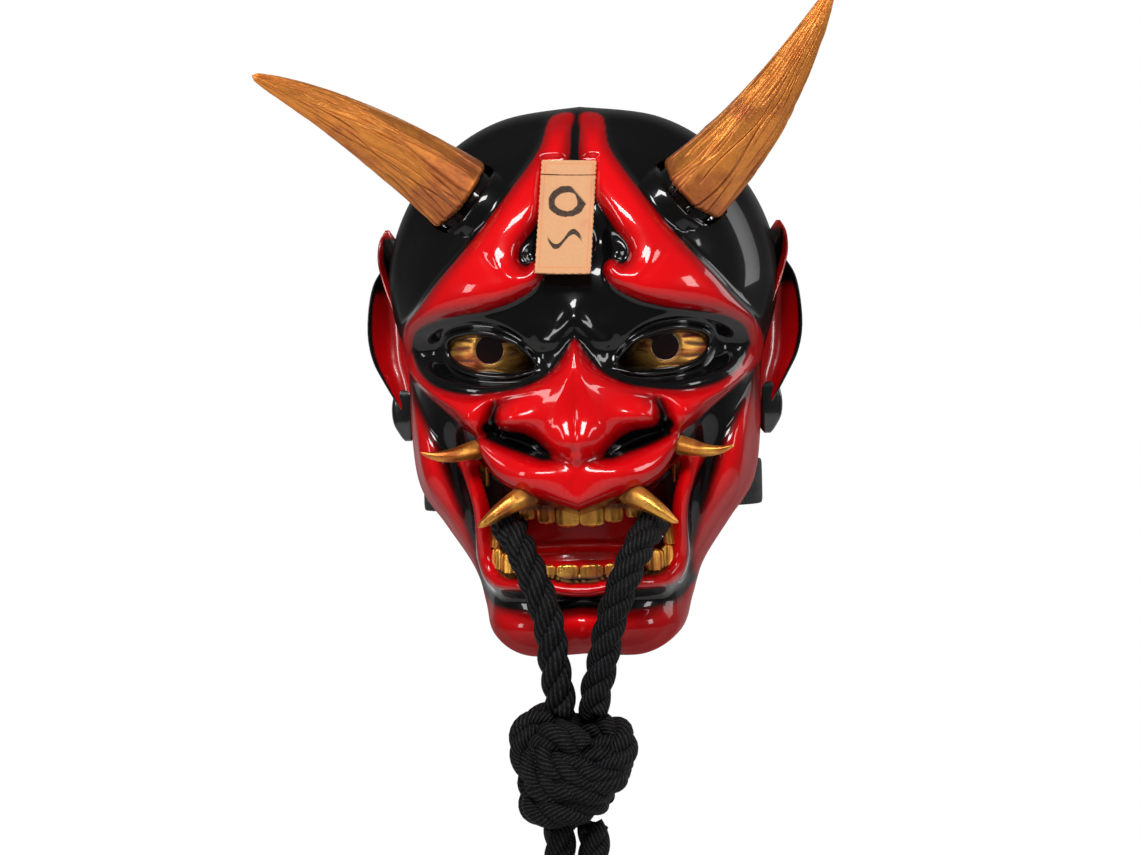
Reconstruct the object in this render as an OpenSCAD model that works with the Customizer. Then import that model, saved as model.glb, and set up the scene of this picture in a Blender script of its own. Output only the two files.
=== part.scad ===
// Horned demon mask with pull-off gilt horns, gilt eyes and fangs, a paper slip, a head band and a rope.
// +Z is up and the face looks along -Y. The origin is the middle of the open back, at eye level.

/* [Shell] */
// Half width of the crown at its widest
crown_half_w = 92; // [90:1:94]
// Height of the crown above the eyes
crown_top = 114; // [112:1:116]
// Half width of the face across the jaw
jaw_half_w = 80; // [79:1:82]
// Half width of the chin
chin_half_w = 46; // [45:1:48]
// Depth of the head form from its back rim to the face
face_depth = 100; // [98:1:102]
// Thickness of the cast wall
wall = 4; // [3.5:0.5:4.5]

/* [Horns] */
// Length of a horn along its curve
horn_length = 117; // [100:1:125]
// Radius of a horn at its base
horn_base_r = 19; // [17:0.5:20]
// How far a horn bends from its base to its tip, in degrees
horn_bend = 24; // [15:1:36]
// Turn of the left horn on its peg, in degrees
left_horn_turn = 145; // [-180:5:180]

/* [Paper slip] */
// Width of the slip
slip_w = 25; // [22:1:27]
// Thickness of the slip
slip_t = 0.5; // [0.3:0.1:0.6]

/* [Head band] */
// Width of the webbing
band_w = 22; // [18:1:24]
// Thickness of the webbing
band_t = 2; // [1.5:0.25:2.25]

/* [Rope] */
// Diameter of the rope
rope_d = 15; // [13:1:15]

/* [Hidden] */
$fn = 48;

// Middle of the face outline, from which the shell's rings spread
centre_z = -10;
// Rings from the middle of the face to the rim, and steps between two rim points
rings = 20;
rim_steps = 3;
// Right half of the rim, from the crown to the chin
rim_half = [
    [0, crown_top], [0.38 * crown_half_w, crown_top - 5], [0.66 * crown_half_w, crown_top - 19.5],
    [0.865 * crown_half_w, crown_top - 42], [0.975 * crown_half_w, crown_top - 69],
    [0.985 * crown_half_w, crown_top - 94], [0.93 * crown_half_w, -8], [jaw_half_w + 4, -42],
    [jaw_half_w, -66], [jaw_half_w - 12, -84], [chin_half_w + 9, -104], [chin_half_w + 3, -122],
    [chin_half_w - 2, -136], [chin_half_w - 18, -144], [0, -144]];
// Hills and hollows of the face: half distance from the middle, height, half widths, and rise
hills = [
    [0, -42, 12, 11, 26], // tip of the nose
    [0, -16, 9, 22, 12], // bridge of the nose
    [27, -36, 10, 8, 14], // wings of the nose
    [30, 33, 28, 13, 11], // brows
    [0, 12, 12, 10, -5], // frown between the brows
    [41, 1, 26, 11, -9], // eye sockets
    [60, -22, 20, 12, 13], // cheekbones
    [20, -60, 28, 10, 16], // upper lip
    [0, -110, 48, 8, 24], // lower lip
    [20, -132, 32, 12, 32], // chin
    [64, -50, 9, 16, -7], // hollows of the cheeks
    [50, -84, 10, 20, 9]]; // sides of the lower jaw

function unit(v) = v / norm(v);
// Point on a smooth curve through b and c, with neighbours a and d
function between(a, b, c, d, t) =
    0.5 * (2 * b + (c - a) * t + (2 * a - 5 * b + 4 * c - d) * t * t + (3 * b - a - 3 * c + d) * t * t * t);
// Smooth curve through the points, with n steps to a span
function smooth(points, n) = let (last = len(points) - 1) [
    for (i = [0 : last - 1]) for (k = [0 : n - 1])
        between(points[max(i - 1, 0)], points[i], points[i + 1], points[min(i + 2, last)], k / n),
    points[last]];

rim_right = smooth(rim_half, rim_steps);
rim_loop = [
    for (p = rim_right) p,
    for (i = [len(rim_right) - 2 : -1 : 1]) [-rim_right[i].x, rim_right[i].y]];
spokes = len(rim_loop);
rim_reach = [
    for (i = [len(rim_right) - 1 : -1 : 0]) let (p = rim_right[i] - [0, centre_z])
        [atan2(p.y, max(p.x, 0)), norm(p)]];

// How far out a place in front view is, from 0 in the middle to 1 at the rim
function rim_share(x, z) =
    min(1, norm([x, z - centre_z]) / lookup(atan2(z - centre_z, abs(x)), rim_reach));
// Relief of the face over the plain head form
function relief(x, z) = min(1, 6 * (1 - rim_share(x, z)))
    * [for (h = hills) h[4] * exp(-pow((abs(x) - h[0]) / h[2], 2) - pow((z - h[1]) / h[3], 2))]
    * [for (h = hills) 1];
// Depth of the plain head form, fuller at the chin than at the crown
function form_depth(x, z) = face_depth
    * pow(1 - pow(rim_share(x, z), 2), 0.325 + 0.075 * sin(atan2(z - centre_z, abs(x) + 0.01)));
// Depth of the outside of the face
function face(x, z) = form_depth(x, z) + relief(x, z);

// Point of the wall on ring k and spoke j, taken in by inset, with less relief on the inside
function wall_point(k, j, inset) = let (
    c = [0, centre_z],
    p = rim_loop[j % spokes],
    out = sin(90 * k / rings),
    q = c + (p - c) * out,
    n = c + (p - c) * (1 - inset / norm(p - c)) * out,
    hill = relief(q.x, q.y),
    rise = inset > 0 && hill > 0 ? 0.35 * hill : hill,
    depth = form_depth(q.x, q.y) * (1 - inset / face_depth) - 0.6 * inset + rise
) [n.x, k == rings ? 0 : -max(depth, 0.5), n.y];

// Wall of the mask as one closed solid
module wall_solid() {
    side = [
        for (inset = [0, wall]) each [for (k = [1 : rings]) for (j = [0 : spokes - 1]) wall_point(k, j, inset)]];
    count = rings * spokes;
    last = count - spokes;
    points = concat(side, [wall_point(0, 0, 0), wall_point(0, 0, wall)]);
    faces = [
        for (k = [0 : rings - 2]) for (j = [0 : spokes - 1]) let (
            a = k * spokes + j,
            b = k * spokes + (j + 1) % spokes
        ) each [
            [a, a + spokes, b + spokes], [a, b + spokes, b],
            [count + a, count + b + spokes, count + a + spokes], [count + a, count + b, count + b + spokes]],
        for (j = [0 : spokes - 1]) let (m = (j + 1) % spokes) each [
            [2 * count, j, m], [2 * count + 1, count + m, count + j],
            [last + j, count + last + j, count + last + m], [last + j, count + last + m, last + m]]];
    polyhedron(points, faces, convexity = 8);
}

// Pad that fits the inside of the wall, over rings k and spokes j
pad_gap = 0.2;
module wall_pad(ring_span, spoke_span, thick) {
    ks = [ring_span[0] : ring_span[1]];
    js = [spoke_span[0] : spoke_span[1]];
    rows = ring_span[1] - ring_span[0] + 1;
    cols = spoke_span[1] - spoke_span[0] + 1;
    count = rows * cols;
    points = [for (inset = [wall + pad_gap, wall + thick]) for (k = ks) for (j = js) wall_point(k, j, inset)];
    edge = [
        for (c = [0 : cols - 2]) c,
        for (r = [0 : rows - 2]) r * cols + cols - 1,
        for (c = [cols - 1 : -1 : 1]) (rows - 1) * cols + c,
        for (r = [rows - 1 : -1 : 1]) r * cols];
    faces = [
        for (r = [0 : rows - 2]) for (c = [0 : cols - 2]) let (a = r * cols + c) each [
            [a, a + cols, a + cols + 1], [a, a + cols + 1, a + 1],
            [count + a, count + a + cols + 1, count + a + cols],
            [count + a, count + a + 1, count + a + cols + 1]],
        for (i = [0 : len(edge) - 1]) let (a = edge[i], b = edge[(i + 1) % len(edge)]) each [
            [a, b, count + b], [a, count + b, count + a]]];
    polyhedron(points, faces, convexity = 4);
}

// Sideways directions carried along a path without twist
function carried(tangents, i, side) = i == len(tangents) ? [] : let (
    s = unit(side - tangents[i] * (side * tangents[i]))
) concat([s], carried(tangents, i + 1, s));
// Closed solid of round section swept along a path, with a radius at each point
module swept(path, radii, sides, first_side) {
    last = len(path) - 1;
    tangents = [for (i = [0 : last]) unit(path[min(i + 1, last)] - path[max(i - 1, 0)])];
    across = carried(tangents, 0, first_side);
    points = [
        for (i = [0 : last]) for (j = [0 : sides - 1]) let (a = 360 * j / sides)
            path[i] + radii[i] * (cos(a) * across[i] + sin(a) * cross(tangents[i], across[i]))];
    faces = [
        [for (j = [0 : sides - 1]) j],
        [for (j = [sides - 1 : -1 : 0]) last * sides + j],
        for (i = [0 : last - 1]) for (j = [0 : sides - 1]) let (
            a = i * sides + j,
            b = i * sides + (j + 1) % sides
        ) each [[a, a + sides, b + sides], [a, b + sides, b]]];
    polyhedron(points, faces, convexity = 6);
}

// Prism along Y of a flat outline drawn in front view
module front_prism(from_y, to_y) {
    translate([0, to_y, 0]) rotate([90, 0, 0]) linear_extrude(to_y - from_y) children();
}
// Drawn as given on the right, mirrored on the left
module on_side(side) {
    mirror([side < 0 ? 1 : 0, 0, 0]) children();
}

// Almond eye opening, and the gilt ball behind the lids
eye_x = 41;
eye_z = -1;
eye_length = 44;
eye_height = 16;
eye_tilt = 12;
eye_arc_r = (pow(eye_length / 2, 2) + pow(eye_height / 2, 2)) / eye_height;
eye_front = 80;
eye_ball_r = 40;
eye_ball_proud = 3;
eye_wall = 3;
eye_back = 60;
eye_face = 6;
pupil_r = 6.5;
pupil_up = 1;
lid_play = 3;
lid_gap = 0.2;
module eye_outline(edge) {
    rotate(eye_tilt) intersection() {
        translate([0, eye_height / 2 - eye_arc_r]) circle(r = eye_arc_r + edge, $fn = 96);
        translate([0, eye_arc_r - eye_height / 2]) circle(r = eye_arc_r + edge, $fn = 96);
    }
}
module eye(side) {
    color("goldenrod") on_side(side) translate([eye_x, 0, eye_z]) difference() {
        intersection() {
            union() {
                front_prism(-eye_front - eye_face, -eye_front + 1) eye_outline(-lid_gap);
                front_prism(-eye_front + lid_gap, -eye_back) eye_outline(lid_play - lid_gap);
            }
            difference() {
                translate([0, eye_ball_r - eye_front - eye_ball_proud, 0]) sphere(r = eye_ball_r);
                translate([0, eye_ball_r - eye_front - eye_ball_proud, 0]) sphere(r = eye_ball_r - eye_wall);
            }
        }
        translate([0, 0, pupil_up]) rotate([90, 0, 0]) cylinder(r = pupil_r, h = face_depth + 10);
    }
}

// Tinted lens in the pupil, set a little behind the front of the ball
lens_t = 1.5;
lens_in = 1;
lens_play = 0.05;
module lens(side) {
    color("maroon") on_side(side)
        translate([eye_x, lens_in + lens_t - eye_front - eye_ball_proud, eye_z + pupil_up])
            rotate([90, 0, 0]) cylinder(r = pupil_r - lens_play, h = lens_t);
}

// Right half of the mouth opening, from the middle of the upper lip to the middle of the lower one
mouth_half = [[0, -75], [14, -71], [30, -66], [40, -58], [46, -50], [46, -94], [40, -102], [0, -103]];
function both_halves(half) = [
    for (p = half) p,
    for (i = [len(half) - 1 : -1 : 0]) if (half[i].x > 0) [-half[i].x, half[i].y]];

// Red wall that closes the back of the mouth, bored for the rope in both corners
mouth_r = 60;
mouth_y = -22;
mouth_wall_t = 3;
mouth_wall_low = -112;
mouth_wall_h = 64;
mouth_wall_edge_y = -52;
// Right half of its outline, which narrows downwards with the jaw
mouth_wall_half = [[0, -48], [52, -48], [52, -88], [46, -96], [38, -103], [30, -106], [0, -106]];
rope_hole_x = 34;
rope_hole_z = -82;
rope_hole_r = rope_d / 2 + 0.75;
module mouth_wall() {
    color("firebrick") difference() {
        intersection() {
            translate([0, mouth_y, mouth_wall_low]) cylinder(r = mouth_r, h = mouth_wall_h);
            front_prism(mouth_y - mouth_r - 1, mouth_wall_edge_y + 1) polygon(both_halves(mouth_wall_half));
        }
        translate([0, mouth_y, mouth_wall_low - 1]) cylinder(r = mouth_r - mouth_wall_t, h = mouth_wall_h + 2);
        translate([-mouth_r - 1, mouth_wall_edge_y, mouth_wall_low - 1])
            cube([2 * mouth_r + 2, mouth_r - mouth_wall_edge_y, mouth_wall_h + 2]);
        for (x = [-rope_hole_x, rope_hole_x]) {
            translate([x, 0, rope_hole_z]) rotate([90, 0, 0]) cylinder(r = rope_hole_r, h = face_depth);
        }
    }
}

// A row of teeth on an arched gum: place across, width and height of each tooth
arch_r = 66;
arch_y = -28;
gum_t = 3;
gum_half_w = 42;
tooth_t = 5;
module teeth(row, gum_z, gum_h, down) {
    for (t = row) {
        translate([0, arch_y, 0]) rotate([0, 0, asin(t[0] / arch_r)])
            translate([0, -arch_r, gum_z + down * t[2] / 2])
                cube([t[1], tooth_t, t[2] + gum_h / 2], center = true);
    }
    intersection() {
        translate([0, arch_y, gum_z - gum_h / 2]) difference() {
            cylinder(r = arch_r, h = gum_h);
            translate([0, 0, -1]) cylinder(r = arch_r - gum_t, h = gum_h + 2);
        }
        translate([-gum_half_w, arch_y - arch_r - 1, gum_z - gum_h]) cube([2 * gum_half_w, arch_r, 2 * gum_h]);
    }
}
module upper_teeth() {
    color("goldenrod")
        teeth([[-20, 9, 7], [-7, 12, 9], [7, 12, 9], [20, 9, 7]], -72, 5, -1);
}
module lower_teeth() {
    color("goldenrod")
        teeth([
            [-34, 8, 12], [-23, 8, 5], [-11.5, 9, 6], [0, 9, 6], [11.5, 9, 6], [23, 8, 5],
            [34, 8, 12]], -105, 5, 1);
}

// Curved points of gilt: path from the root to the tip, and the radius at the root
module point(path, root_r) {
    curve = smooth(path, 4);
    last = len(curve) - 1;
    color("goldenrod")
        swept(curve, [for (i = [0 : last]) max(0.8, root_r * pow(1 - i / last, 0.7))], 14, [0, 1, 0]);
}
module fang(side) {
    on_side(side) point([[22, -98, -69], [30, -107, -73], [38, -110, -77], [45, -111, -81]], 5);
}
module tusk(side) {
    on_side(side) point([[44, -88, -46], [52, -99, -52], [62, -103, -53], [71, -104, -47]], 5);
}

// Ear of one casting with its root pressed against the side of the head. Each corner is a ball:
// distance out from the side of the head, depth, height, and radius
ear_upper = [[-1, -14, 52, 3], [-2, -30, 30, 4], [8, -14, 20, 4], [-3, -28, 0, 4]];
ear_lower = [[7, -14, 8, 4.5], [-3, -28, 0, 4], [-5, -18, -20, 4], [-2, -12, -40, 3]];
module ear_lobe(corners) {
    hull() for (c = corners) translate([crown_half_w + c[0], c[1], c[2]]) sphere(r = c[3], $fn = 16);
}
module ear(side) {
    color("firebrick") on_side(side) {
        ear_lobe(ear_upper);
        ear_lobe(ear_lower);
    }
}

// Horn seat: place on the crown, direction of the peg, and the fit of the peg
horn_x = 54;
horn_z = 73;
horn_lean = 51;
horn_swing = 19;
seat_r = 20.5;
seat_t = 10;
seat_gap = 0.3;
peg_r = 7;
peg_play = 0.05;
peg_length = 14;
peg_root = 22;
socket_r = 10;
socket_length = 19;
magnet_r = 4.5;
magnet_t = 3;
magnet_gap = 0.3;
horn_rings = 14;
horn_sides = 24;
horn_tip = 0.13;
horn_taper = 0.8;
// Frame of a horn's peg: local +Z runs up the peg, and the horn bends towards local -X
module at_horn(side) {
    on_side(side) translate([horn_x, -form_depth(horn_x, horn_z) - 1, horn_z])
        rotate([0, horn_lean, -horn_swing]) rotate([0, 0, side < 0 ? left_horn_turn : 0]) children();
}
module horn(side) {
    bend_r = horn_length / (horn_bend * PI / 180);
    path = [
        [0, 0, seat_gap],
        for (i = [0 : horn_rings]) let (a = horn_bend * i / horn_rings)
            [-bend_r * (1 - cos(a)), 0, seat_gap + 2 + bend_r * sin(a)]];
    radii = [
        horn_base_r,
        for (i = [0 : horn_rings])
            horn_base_r * (horn_tip + (1 - horn_tip) * pow(1 - i / horn_rings, horn_taper))];
    color("darkgoldenrod") at_horn(side) difference() {
        swept(path, radii, horn_sides, [0, 1, 0]);
        cylinder(r = peg_r, h = peg_root);
    }
}
module horn_peg(side) {
    color("burlywood") at_horn(side) difference() {
        translate([0, 0, -peg_length]) cylinder(r = peg_r, h = peg_length + peg_root);
        translate([0, 0, -peg_length - 1]) cylinder(r = magnet_r, h = magnet_t + 1);
    }
}
module peg_magnet(side) {
    color("silver") at_horn(side) translate([0, 0, -peg_length]) cylinder(r = magnet_r, h = magnet_t);
}
module horn_socket(side) {
    color("dimgray") at_horn(side) difference() {
        translate([0, 0, -socket_length]) cylinder(r = socket_r, h = socket_length);
        translate([0, 0, -peg_length - magnet_gap]) cylinder(r = peg_r + peg_play, h = socket_length);
        translate([0, 0, -peg_length - magnet_gap - magnet_t]) cylinder(r = magnet_r, h = magnet_t + 1);
    }
}
module socket_magnet(side) {
    color("silver") at_horn(side) translate([0, 0, -peg_length - magnet_gap - magnet_t])
        cylinder(r = magnet_r, h = magnet_t);
}

// Paper slip: glued by a tab at its top, and free to lift below it
slip_x = -5.6;
slip_top = 88;
slip_low = 35;
slip_tilt = 2.5;
tab_h = 8;
slip_top_y = -70.5;
slip_low_y = -103.5;
tab_t = 3;
slip_gap = 0.8;
// Frame of the slip: local X across it, local Z up it, from the middle of its lower edge
module at_slip() {
    translate([slip_x + 1, slip_low_y, slip_low]) rotate([0, slip_tilt, 0])
        rotate([-atan2(slip_top_y - slip_low_y, slip_top - slip_low), 0, 0]) children();
}
slip_reach = norm([slip_top_y - slip_low_y, slip_top - slip_low]);
module paper_slip() {
    color("burlywood") at_slip() translate([-slip_w / 2, -slip_t, 0])
        cube([slip_w, slip_t, slip_reach - tab_h - slip_gap]);
}
module paper_tab() {
    color("burlywood") at_slip() translate([-slip_w / 2, -slip_t, slip_reach - tab_h])
        cube([slip_w, tab_t, tab_h]);
}

// Foam pads at the brow and the cheeks, given by rings and spokes of the wall
pad_t = 12;
module brow_pad() {
    color("dimgray") wall_pad([8, 12], [spokes - 3, spokes + 3], pad_t);
}
module cheek_pad(side) {
    color("dimgray") wall_pad([12, 16], side > 0 ? [17, 22] : [spokes - 22, spokes - 17], pad_t);
}

// Hanger in the crown
nail_r = 2.75;
plate_t = 2;
plate_w = 28;
plate_top = crown_top - 8;
plate_low = crown_top - 32;
nail_z = crown_top - 27;
block_w = 32;
block_h = 14;
block_t = 10;
hanger_screw_x = 8;
hanger_screw_z = crown_top - 13;
hanger_screw_r = 1.5;
hanger_screw_length = 10;
screw_head_r = 3;
screw_head_t = 1.5;
module hanger_plate() {
    color("silver") difference() {
        translate([-plate_w / 2, -plate_t, plate_low]) cube([plate_w, plate_t, plate_top - plate_low]);
        translate([0, -plate_t - 1, nail_z]) rotate([-90, 0, 0]) cylinder(r = nail_r, h = plate_t + 2);
        for (x = [-hanger_screw_x, hanger_screw_x]) {
            translate([x, -plate_t - 1, hanger_screw_z]) rotate([-90, 0, 0])
                cylinder(r = hanger_screw_r, h = plate_t + 2);
        }
    }
}
module hanger_screws() {
    color("silver") for (x = [-hanger_screw_x, hanger_screw_x]) {
        translate([x, -hanger_screw_length, hanger_screw_z]) rotate([-90, 0, 0]) {
            cylinder(r = hanger_screw_r, h = hanger_screw_length);
            translate([0, 0, hanger_screw_length]) cylinder(r = screw_head_r, h = screw_head_t);
        }
    }
}

// Head band: rivets inside the cheeks, two webbing straps that lap behind the head, and a slider
rivet_x = 58;
rivet_y = -24;
rivet_z = -68;
rivet_r = 2.5;
rivet_play = 0.05;
rivet_head_r = 5;
rivet_head_t = 1.5;
rivet_length = 13;
boss_r = 8;
boss_length = 14;
boss_gap = 0.8;
band_reach = 116;
lap_gap = 0.5;
lap_reach = 40;
slider_w = 24;
slider_bar = 4;
slider_gap = 0.4;
slider_t = 3;
// Route of a strap from its rivet to the middle of the back, in plan
band_route = [[58, -34], [58, -14], [61, 6], [80, 34], [80, 72], [66, 102], [42, 115], [30, 116], [0, 116]];
// Webbing along a route in plan, moved out by shift
module webbing(route, shift) {
    curve = smooth(route, 4);
    last = len(curve) - 1;
    sideways = [
        for (i = [0 : last]) let (d = unit(curve[min(i + 1, last)] - curve[max(i - 1, 0)])) [d.y, -d.x]];
    translate([0, 0, rivet_z - band_w / 2]) linear_extrude(band_w) polygon([
        for (i = [0 : last]) curve[i] + sideways[i] * shift,
        for (i = [last : -1 : 0]) curve[i] + sideways[i] * (shift + band_t)]);
}
// The left strap runs outside the right one
function band_shift(side) = side > 0 ? 0 : band_t + lap_gap;
module band(side) {
    lap = [[-lap_reach, band_reach]];
    color("black") difference() {
        on_side(side) webbing(concat(band_route, lap), band_shift(side));
        translate([side * rivet_x, rivet_y, rivet_z]) rotate([0, 90, 0])
            cylinder(r = rivet_r + rivet_play, h = 30, center = true);
    }
}
// Rivet along X, with a head inside the strap
module band_rivet(side) {
    inner = rivet_x + band_shift(side) - boss_gap - rivet_head_t;
    color("silver") on_side(side) translate([inner, rivet_y, rivet_z]) rotate([0, 90, 0]) {
        cylinder(r = rivet_head_r, h = rivet_head_t);
        cylinder(r = rivet_r, h = rivet_length);
    }
}
// Flat loop, through which both straps pass
module band_slider() {
    slot = 2 * band_t + lap_gap + 2 * slider_gap;
    color("dimgray") translate([0, band_reach - slider_gap, 0]) difference() {
        translate([-slider_w / 2, -slider_t, rivet_z - band_w / 2 - slider_bar])
            cube([slider_w, slot + 2 * slider_t, band_w + 2 * slider_bar]);
        translate([-slider_w, 0, rivet_z - band_w / 2 - slider_gap])
            cube([2 * slider_w, slot, band_w + 2 * slider_gap]);
    }
}

// Rope: behind the mouth wall, out of both mouth corners, and down over the lower lip to the knot
rope_route = [
    [-10, -116, -168], [-10, -116, -160], [-12, -118, -144], [-14, -119, -126], [-20, -118, -106],
    [-28, -109, -89], [-34, -94, -82], [-34, -78, -82], [-33, -62, -82], [-24, -46, -82], [0, -38, -82],
    [24, -46, -82],
    [33, -62, -82], [34, -78, -82], [34, -94, -82], [29, -109, -89], [21, -118, -106], [14, -119, -126],
    [10, -118, -144], [6, -116, -160], [6, -116, -168]];
left_tail_route = [
    [-11.5, -116, -218], [-11.5, -116, -228], [-11.5, -115, -245], [-13, -115, -270], [-15, -115, -300],
    [-16, -115, -320], [-16, -115, -330]];
right_tail_route = [
    [4, -116, -218], [4, -116, -228], [4, -117, -245], [5, -117, -270], [6, -117, -300], [7, -117, -314],
    [7, -117, -324]];
rope_sides = 10;
module rope(route, steps) {
    curve = smooth(route, steps);
    color("#222222") swept(curve, [for (p = curve) rope_d / 2], rope_sides, [0, 1, 0]);
}
knot_mid = [-4, -116, -193];
knot_r = 25;
wrap_r = 11;
wrap_step = 14;
knot_h = 50;
module rope_knot() {
    color("#222222") translate(knot_mid) {
        for (z = [-wrap_step, 0, wrap_step]) {
            translate([0, 0, z]) rotate_extrude() translate([knot_r - wrap_r, 0]) circle(r = wrap_r);
        }
        cylinder(r = knot_r - wrap_r / 2, h = knot_h, center = true);
    }
}
tassel_length = 46;
tassel_r = 10.5;
tassel_neck_r = 8.5;
tassel_neck_h = 10;
module tassel(route) {
    end = route[len(route) - 1];
    color("#222222") translate(end) rotate_extrude() polygon([
        [0, 0], [tassel_neck_r, 0], [tassel_neck_r, -tassel_neck_h], [tassel_r, -tassel_neck_h - 4],
        [tassel_r - 1, -tassel_length], [0, -tassel_length]]);
}

module mask_shell() {
    color("crimson") difference() {
        union() {
            wall_solid();
            for (side = [-1, 1]) {
                at_horn(side) translate([0, 0, -seat_t]) cylinder(r = seat_r, h = seat_t);
                on_side(side) translate([rivet_x + band_shift(side) + band_t + boss_gap, rivet_y, rivet_z])
                    rotate([0, 90, 0]) cylinder(r = boss_r, h = boss_length);
            }
            translate([-block_w / 2, -plate_t - block_t, crown_top - wall - block_h])
                cube([block_w, block_t, block_h]);
        }
        for (side = [-1, 1]) {
            on_side(side) translate([eye_x, 0, eye_z]) {
                front_prism(-face_depth - 10, -50) eye_outline(0);
                front_prism(-eye_front, -40) eye_outline(lid_play);
            }
            at_horn(side) {
                cylinder(r = seat_r, h = 30);
                translate([0, 0, -40]) cylinder(r = socket_r, h = 41);
            }
            on_side(side) translate([rivet_x, rivet_y, rivet_z]) rotate([0, 90, 0])
                cylinder(r = rivet_r, h = band_shift(side) - boss_gap - rivet_head_t + rivet_length);
            translate([side * hanger_screw_x, -hanger_screw_length, hanger_screw_z])
                rotate([-90, 0, 0]) cylinder(r = hanger_screw_r, h = hanger_screw_length + 2);
        }
        front_prism(-face_depth - 40, -40) polygon(both_halves(mouth_half));
    }
}

mask_shell();
ear(-1);  // left_ear
ear(1);  // right_ear
eye(-1);  // left_eye
eye(1);  // right_eye
lens(-1);  // left_lens
lens(1);  // right_lens
mouth_wall();
upper_teeth();
lower_teeth();
fang(-1);  // left_fang
fang(1);  // right_fang
tusk(-1);  // left_tusk
tusk(1);  // right_tusk
horn(-1);  // left_horn
horn(1);  // right_horn
horn_peg(-1);  // left_horn_peg
horn_peg(1);  // right_horn_peg
horn_socket(-1);  // left_horn_socket
horn_socket(1);  // right_horn_socket
socket_magnet(-1);  // left_socket_magnet
socket_magnet(1);  // right_socket_magnet
peg_magnet(-1);  // left_peg_magnet
peg_magnet(1);  // right_peg_magnet
paper_tab();
paper_slip();
brow_pad();
cheek_pad(-1);  // left_cheek_pad
cheek_pad(1);  // right_cheek_pad
hanger_plate();
hanger_screws();
band(-1);  // left_band
band(1);  // right_band
band_rivet(-1);  // left_band_rivet
band_rivet(1);  // right_band_rivet
band_slider();
rope(rope_route, 3);  // rope_loop
rope_knot();
rope(left_tail_route, 2);  // left_tail
rope(right_tail_route, 2);  // right_tail
tassel(left_tail_route);  // left_tassel
tassel(right_tail_route);  // right_tassel
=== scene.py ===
import math

import bmesh
import bpy
import numpy as np
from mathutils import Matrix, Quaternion, Vector


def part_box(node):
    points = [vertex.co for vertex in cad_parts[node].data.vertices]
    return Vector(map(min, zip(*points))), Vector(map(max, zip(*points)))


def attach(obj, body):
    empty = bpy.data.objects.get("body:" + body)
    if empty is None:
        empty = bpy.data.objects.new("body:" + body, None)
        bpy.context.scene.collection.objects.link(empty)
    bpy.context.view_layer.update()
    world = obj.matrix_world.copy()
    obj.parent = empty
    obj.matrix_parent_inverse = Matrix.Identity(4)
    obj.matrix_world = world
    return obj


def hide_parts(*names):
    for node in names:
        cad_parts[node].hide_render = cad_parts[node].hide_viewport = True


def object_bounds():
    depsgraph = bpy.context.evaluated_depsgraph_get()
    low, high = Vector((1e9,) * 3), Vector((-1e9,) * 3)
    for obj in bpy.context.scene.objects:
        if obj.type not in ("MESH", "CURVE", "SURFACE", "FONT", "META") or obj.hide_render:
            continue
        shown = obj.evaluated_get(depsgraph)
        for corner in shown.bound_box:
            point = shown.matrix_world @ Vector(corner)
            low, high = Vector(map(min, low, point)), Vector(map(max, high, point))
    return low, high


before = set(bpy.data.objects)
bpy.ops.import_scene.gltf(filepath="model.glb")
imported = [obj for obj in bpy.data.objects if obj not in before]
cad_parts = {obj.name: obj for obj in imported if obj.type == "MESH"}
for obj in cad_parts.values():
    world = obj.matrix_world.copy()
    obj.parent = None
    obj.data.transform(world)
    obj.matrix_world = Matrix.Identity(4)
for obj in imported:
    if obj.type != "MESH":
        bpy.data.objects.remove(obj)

cad_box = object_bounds()
mm = 0.001

# ---------------------------------------------------------------------------------------------------
# Studio. A pale floor below the hanging rope, a white room, and soft boxes above and on both sides.
# The camera looks at the face nearly straight on, from far enough away to keep its proportions.

studio = bpy.context.scene
studio.view_settings.view_transform = "Standard"
room = bpy.data.worlds.new("white_room")
studio.world = room
room.use_nodes = True
backdrop = room.node_tree.nodes["Background"]
direction = room.node_tree.nodes.new("ShaderNodeTexCoord")
parts = room.node_tree.nodes.new("ShaderNodeSeparateXYZ")
sweep = room.node_tree.nodes.new("ShaderNodeMapRange")
room.node_tree.links.new(direction.outputs["Generated"], parts.inputs[0])
room.node_tree.links.new(parts.outputs["Y"], sweep.inputs["Value"])
room.node_tree.links.new(sweep.outputs[0], backdrop.inputs["Strength"])
for socket, value in (("From Min", 0.72), ("From Max", 0.965), ("To Min", 0.12), ("To Max", 1.0)):
    sweep.inputs[socket].default_value = value
backdrop.inputs["Color"].default_value = (1, 1, 1, 1)

floor_r, floor_gap = 1.3, 95 * mm
floor_z = cad_box[0][2] - floor_gap


def once_round(count):
    """Angles of so many even steps once round."""
    return np.linspace(0, 2 * np.pi, count, endpoint=False)


around = once_round(96)
floor_mesh = bpy.data.meshes.new("floor")
floor_mesh.from_pydata(
    np.stack([floor_r * np.cos(around), floor_r * np.sin(around), around * 0 + floor_z], 1).tolist(),
    [], [list(range(len(around)))])
floor = bpy.data.objects.new("floor", floor_mesh)
studio.collection.objects.link(floor)
floor_paint = bpy.data.materials.new("floor_paint")
floor_paint.use_nodes = True
floor_shader = floor_paint.node_tree.nodes["Principled BSDF"]
floor_shader.inputs["Base Color"].default_value = (0.86, 0.86, 0.85, 1)
floor_shader.inputs["Roughness"].default_value = 0.7
floor_mesh.materials.append(floor_paint)

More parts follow.
